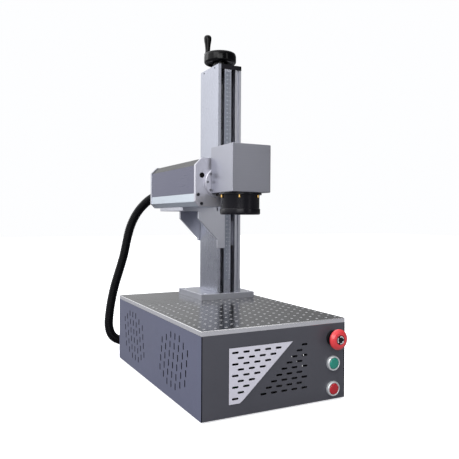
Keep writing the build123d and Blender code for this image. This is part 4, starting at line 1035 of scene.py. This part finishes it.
@dataclass
class Studio:
    """Floor, light and camera: angles in degrees, places in metres, light power in watts."""

    place: tuple = (-0.54168, -1.09275, 0.35396)
    yaw: float = 27.42723
    pitch: float = 1.15953
    roll: float = 0.31135
    lens: float = 42.8603
    lights: tuple = (
        ("key_light", (-1.9, -1.2, 1.9), (0, 0, 0.35), (1.6, 1.2), 15.0),
        ("top_light", (0.1, 0.3, 2.2), (0, 0.05, 0.3), (1.8, 1.8), 9.0),
        ("rim_light", (-1.6, 1.6, 1.2), (0, 0.1, 0.4), (0.8, 1.6), 8.0),
        ("front_strip", (0.9, -1.8, 0.9), (0, 0, 0.4), (0.35, 1.4), 2.2),
        ("camera_fill", (-1.0, -2.0, 0.9), (0, -0.1, 0.2), (1.4, 1.2), 16.0),
    )

    def camera(self) -> None:
        """Stand the camera: turned right by yaw, tipped down by pitch and rolled a little."""
        yaw, pitch, roll = (math.radians(v) for v in (self.yaw, self.pitch, self.roll))
        level = Vector((math.sin(yaw), math.cos(yaw), 0.0))
        down = Vector((0.0, 0.0, -1.0))
        ahead = math.cos(pitch) * level + math.sin(pitch) * down
        below = math.cos(pitch) * down - math.sin(pitch) * level
        right = Vector((math.cos(yaw), -math.sin(yaw), 0.0))
        turned = math.cos(roll) * right - math.sin(roll) * below
        below = math.sin(roll) * right + math.cos(roll) * below
        data = bpy.data.cameras.new("studio_camera")
        data.lens, data.sensor_width = self.lens, 36.0
        data.clip_start, data.clip_end = 0.01, 60.0
        camera = bpy.data.objects.new("studio_camera", data)
        basis = Matrix((turned, -below, -ahead)).transposed().to_4x4()
        camera.matrix_world = Matrix.Translation(self.place) @ basis
        bpy.context.scene.collection.objects.link(camera)
        bpy.context.scene.camera = camera

    def area(self, name: str, at: tuple, aim: tuple, size: tuple, power: float) -> None:
        """Add one soft white light that faces a point."""
        data = bpy.data.lights.new(name, "AREA")
        data.shape, data.size, data.size_y = "RECTANGLE", *size
        data.energy = power
        light = bpy.data.objects.new(name, data)
        light.location = at
        light.rotation_euler = (Vector(aim) - Vector(at)).to_track_quat("-Z", "Y").to_euler()
        bpy.context.scene.collection.objects.link(light)

    def world(self) -> None:
        """Pale surroundings: brighter above, behind and to the left, dimmer in front to the right."""
        world = bpy.data.worlds.new("studio_world")
        world.use_nodes = True
        tree = world.node_tree
        back = tree.nodes["Background"]
        way = split_vector(tree, "ShaderNodeTexCoord", "Generated")
        level = math_node(tree, "MULTIPLY_ADD", way.outputs[0], -0.8, 0.26)
        level = math_node(tree, "MULTIPLY_ADD", way.outputs[1], 0.45, level)
        level = math_node(tree, "MULTIPLY_ADD", way.outputs[2], 1.0, level)
        level = math_node(tree, "MAXIMUM", level, 0.1)
        seen = add_node(tree, "ShaderNodeLightPath").outputs["Is Camera Ray"]
        tree.links.new(mix_value(tree, seen, level, 1.0), back.inputs["Strength"])
        back.inputs["Color"].default_value = (0.985, 0.99, 1.0, 1.0)
        bpy.context.scene.world = world

    def floor(self) -> None:
        """Plain pale floor sheet under the machine."""
        points = np.array([[-9, -9, 0], [9, -9, 0], [9, 9, 0], [-9, 9, 0]], float)
        floor = new_piece("studio_floor", points, [[0, 1, 2, 3]], smooth=False)
        material = bpy.data.materials.new("studio_floor")
        material.use_nodes = True
        shader = material.node_tree.nodes["Principled BSDF"]
        shader.inputs["Roughness"].default_value = 0.9
        shader.inputs["Specular IOR Level"].default_value = 0.1
        shader.inputs["Emission Color"].default_value = (0.97, 0.98, 1.0, 1.0)
        tree = material.node_tree
        seen = add_node(tree, "ShaderNodeLightPath").outputs["Is Camera Ray"]
        tone = mix_color(tree, seen, (0.24, 0.24, 0.26, 1.0), (0.93, 0.93, 0.94, 1.0))
        tree.links.new(mix_value(tree, seen, 0.04, 0.62), shader.inputs["Emission Strength"])
        tree.links.new(tone, shader.inputs["Base Color"])
        floor.data.materials.append(material)

    def build(self) -> None:
        """Set the whole studio."""
        self.camera()
        self.world()
        self.floor()
        for row in self.lights:
            self.area(*row)


def main() -> None:
    """Build the machine's look in order."""
    bpy.context.scene.view_settings.view_transform = "Standard"
    Studio().build()
    finishes = Finishes(SurfaceGroups())
    for assembly in (Conduit, CadDressing, CrankWheel, LeadScrew, ControlPanel, ScaleMarks, ScanHead, Fasteners,
                     HoleRims, CoolingFan):
        assembly(finishes).build()
    LOG.info("all pieces made")


if __name__ == "__main__":
    main()
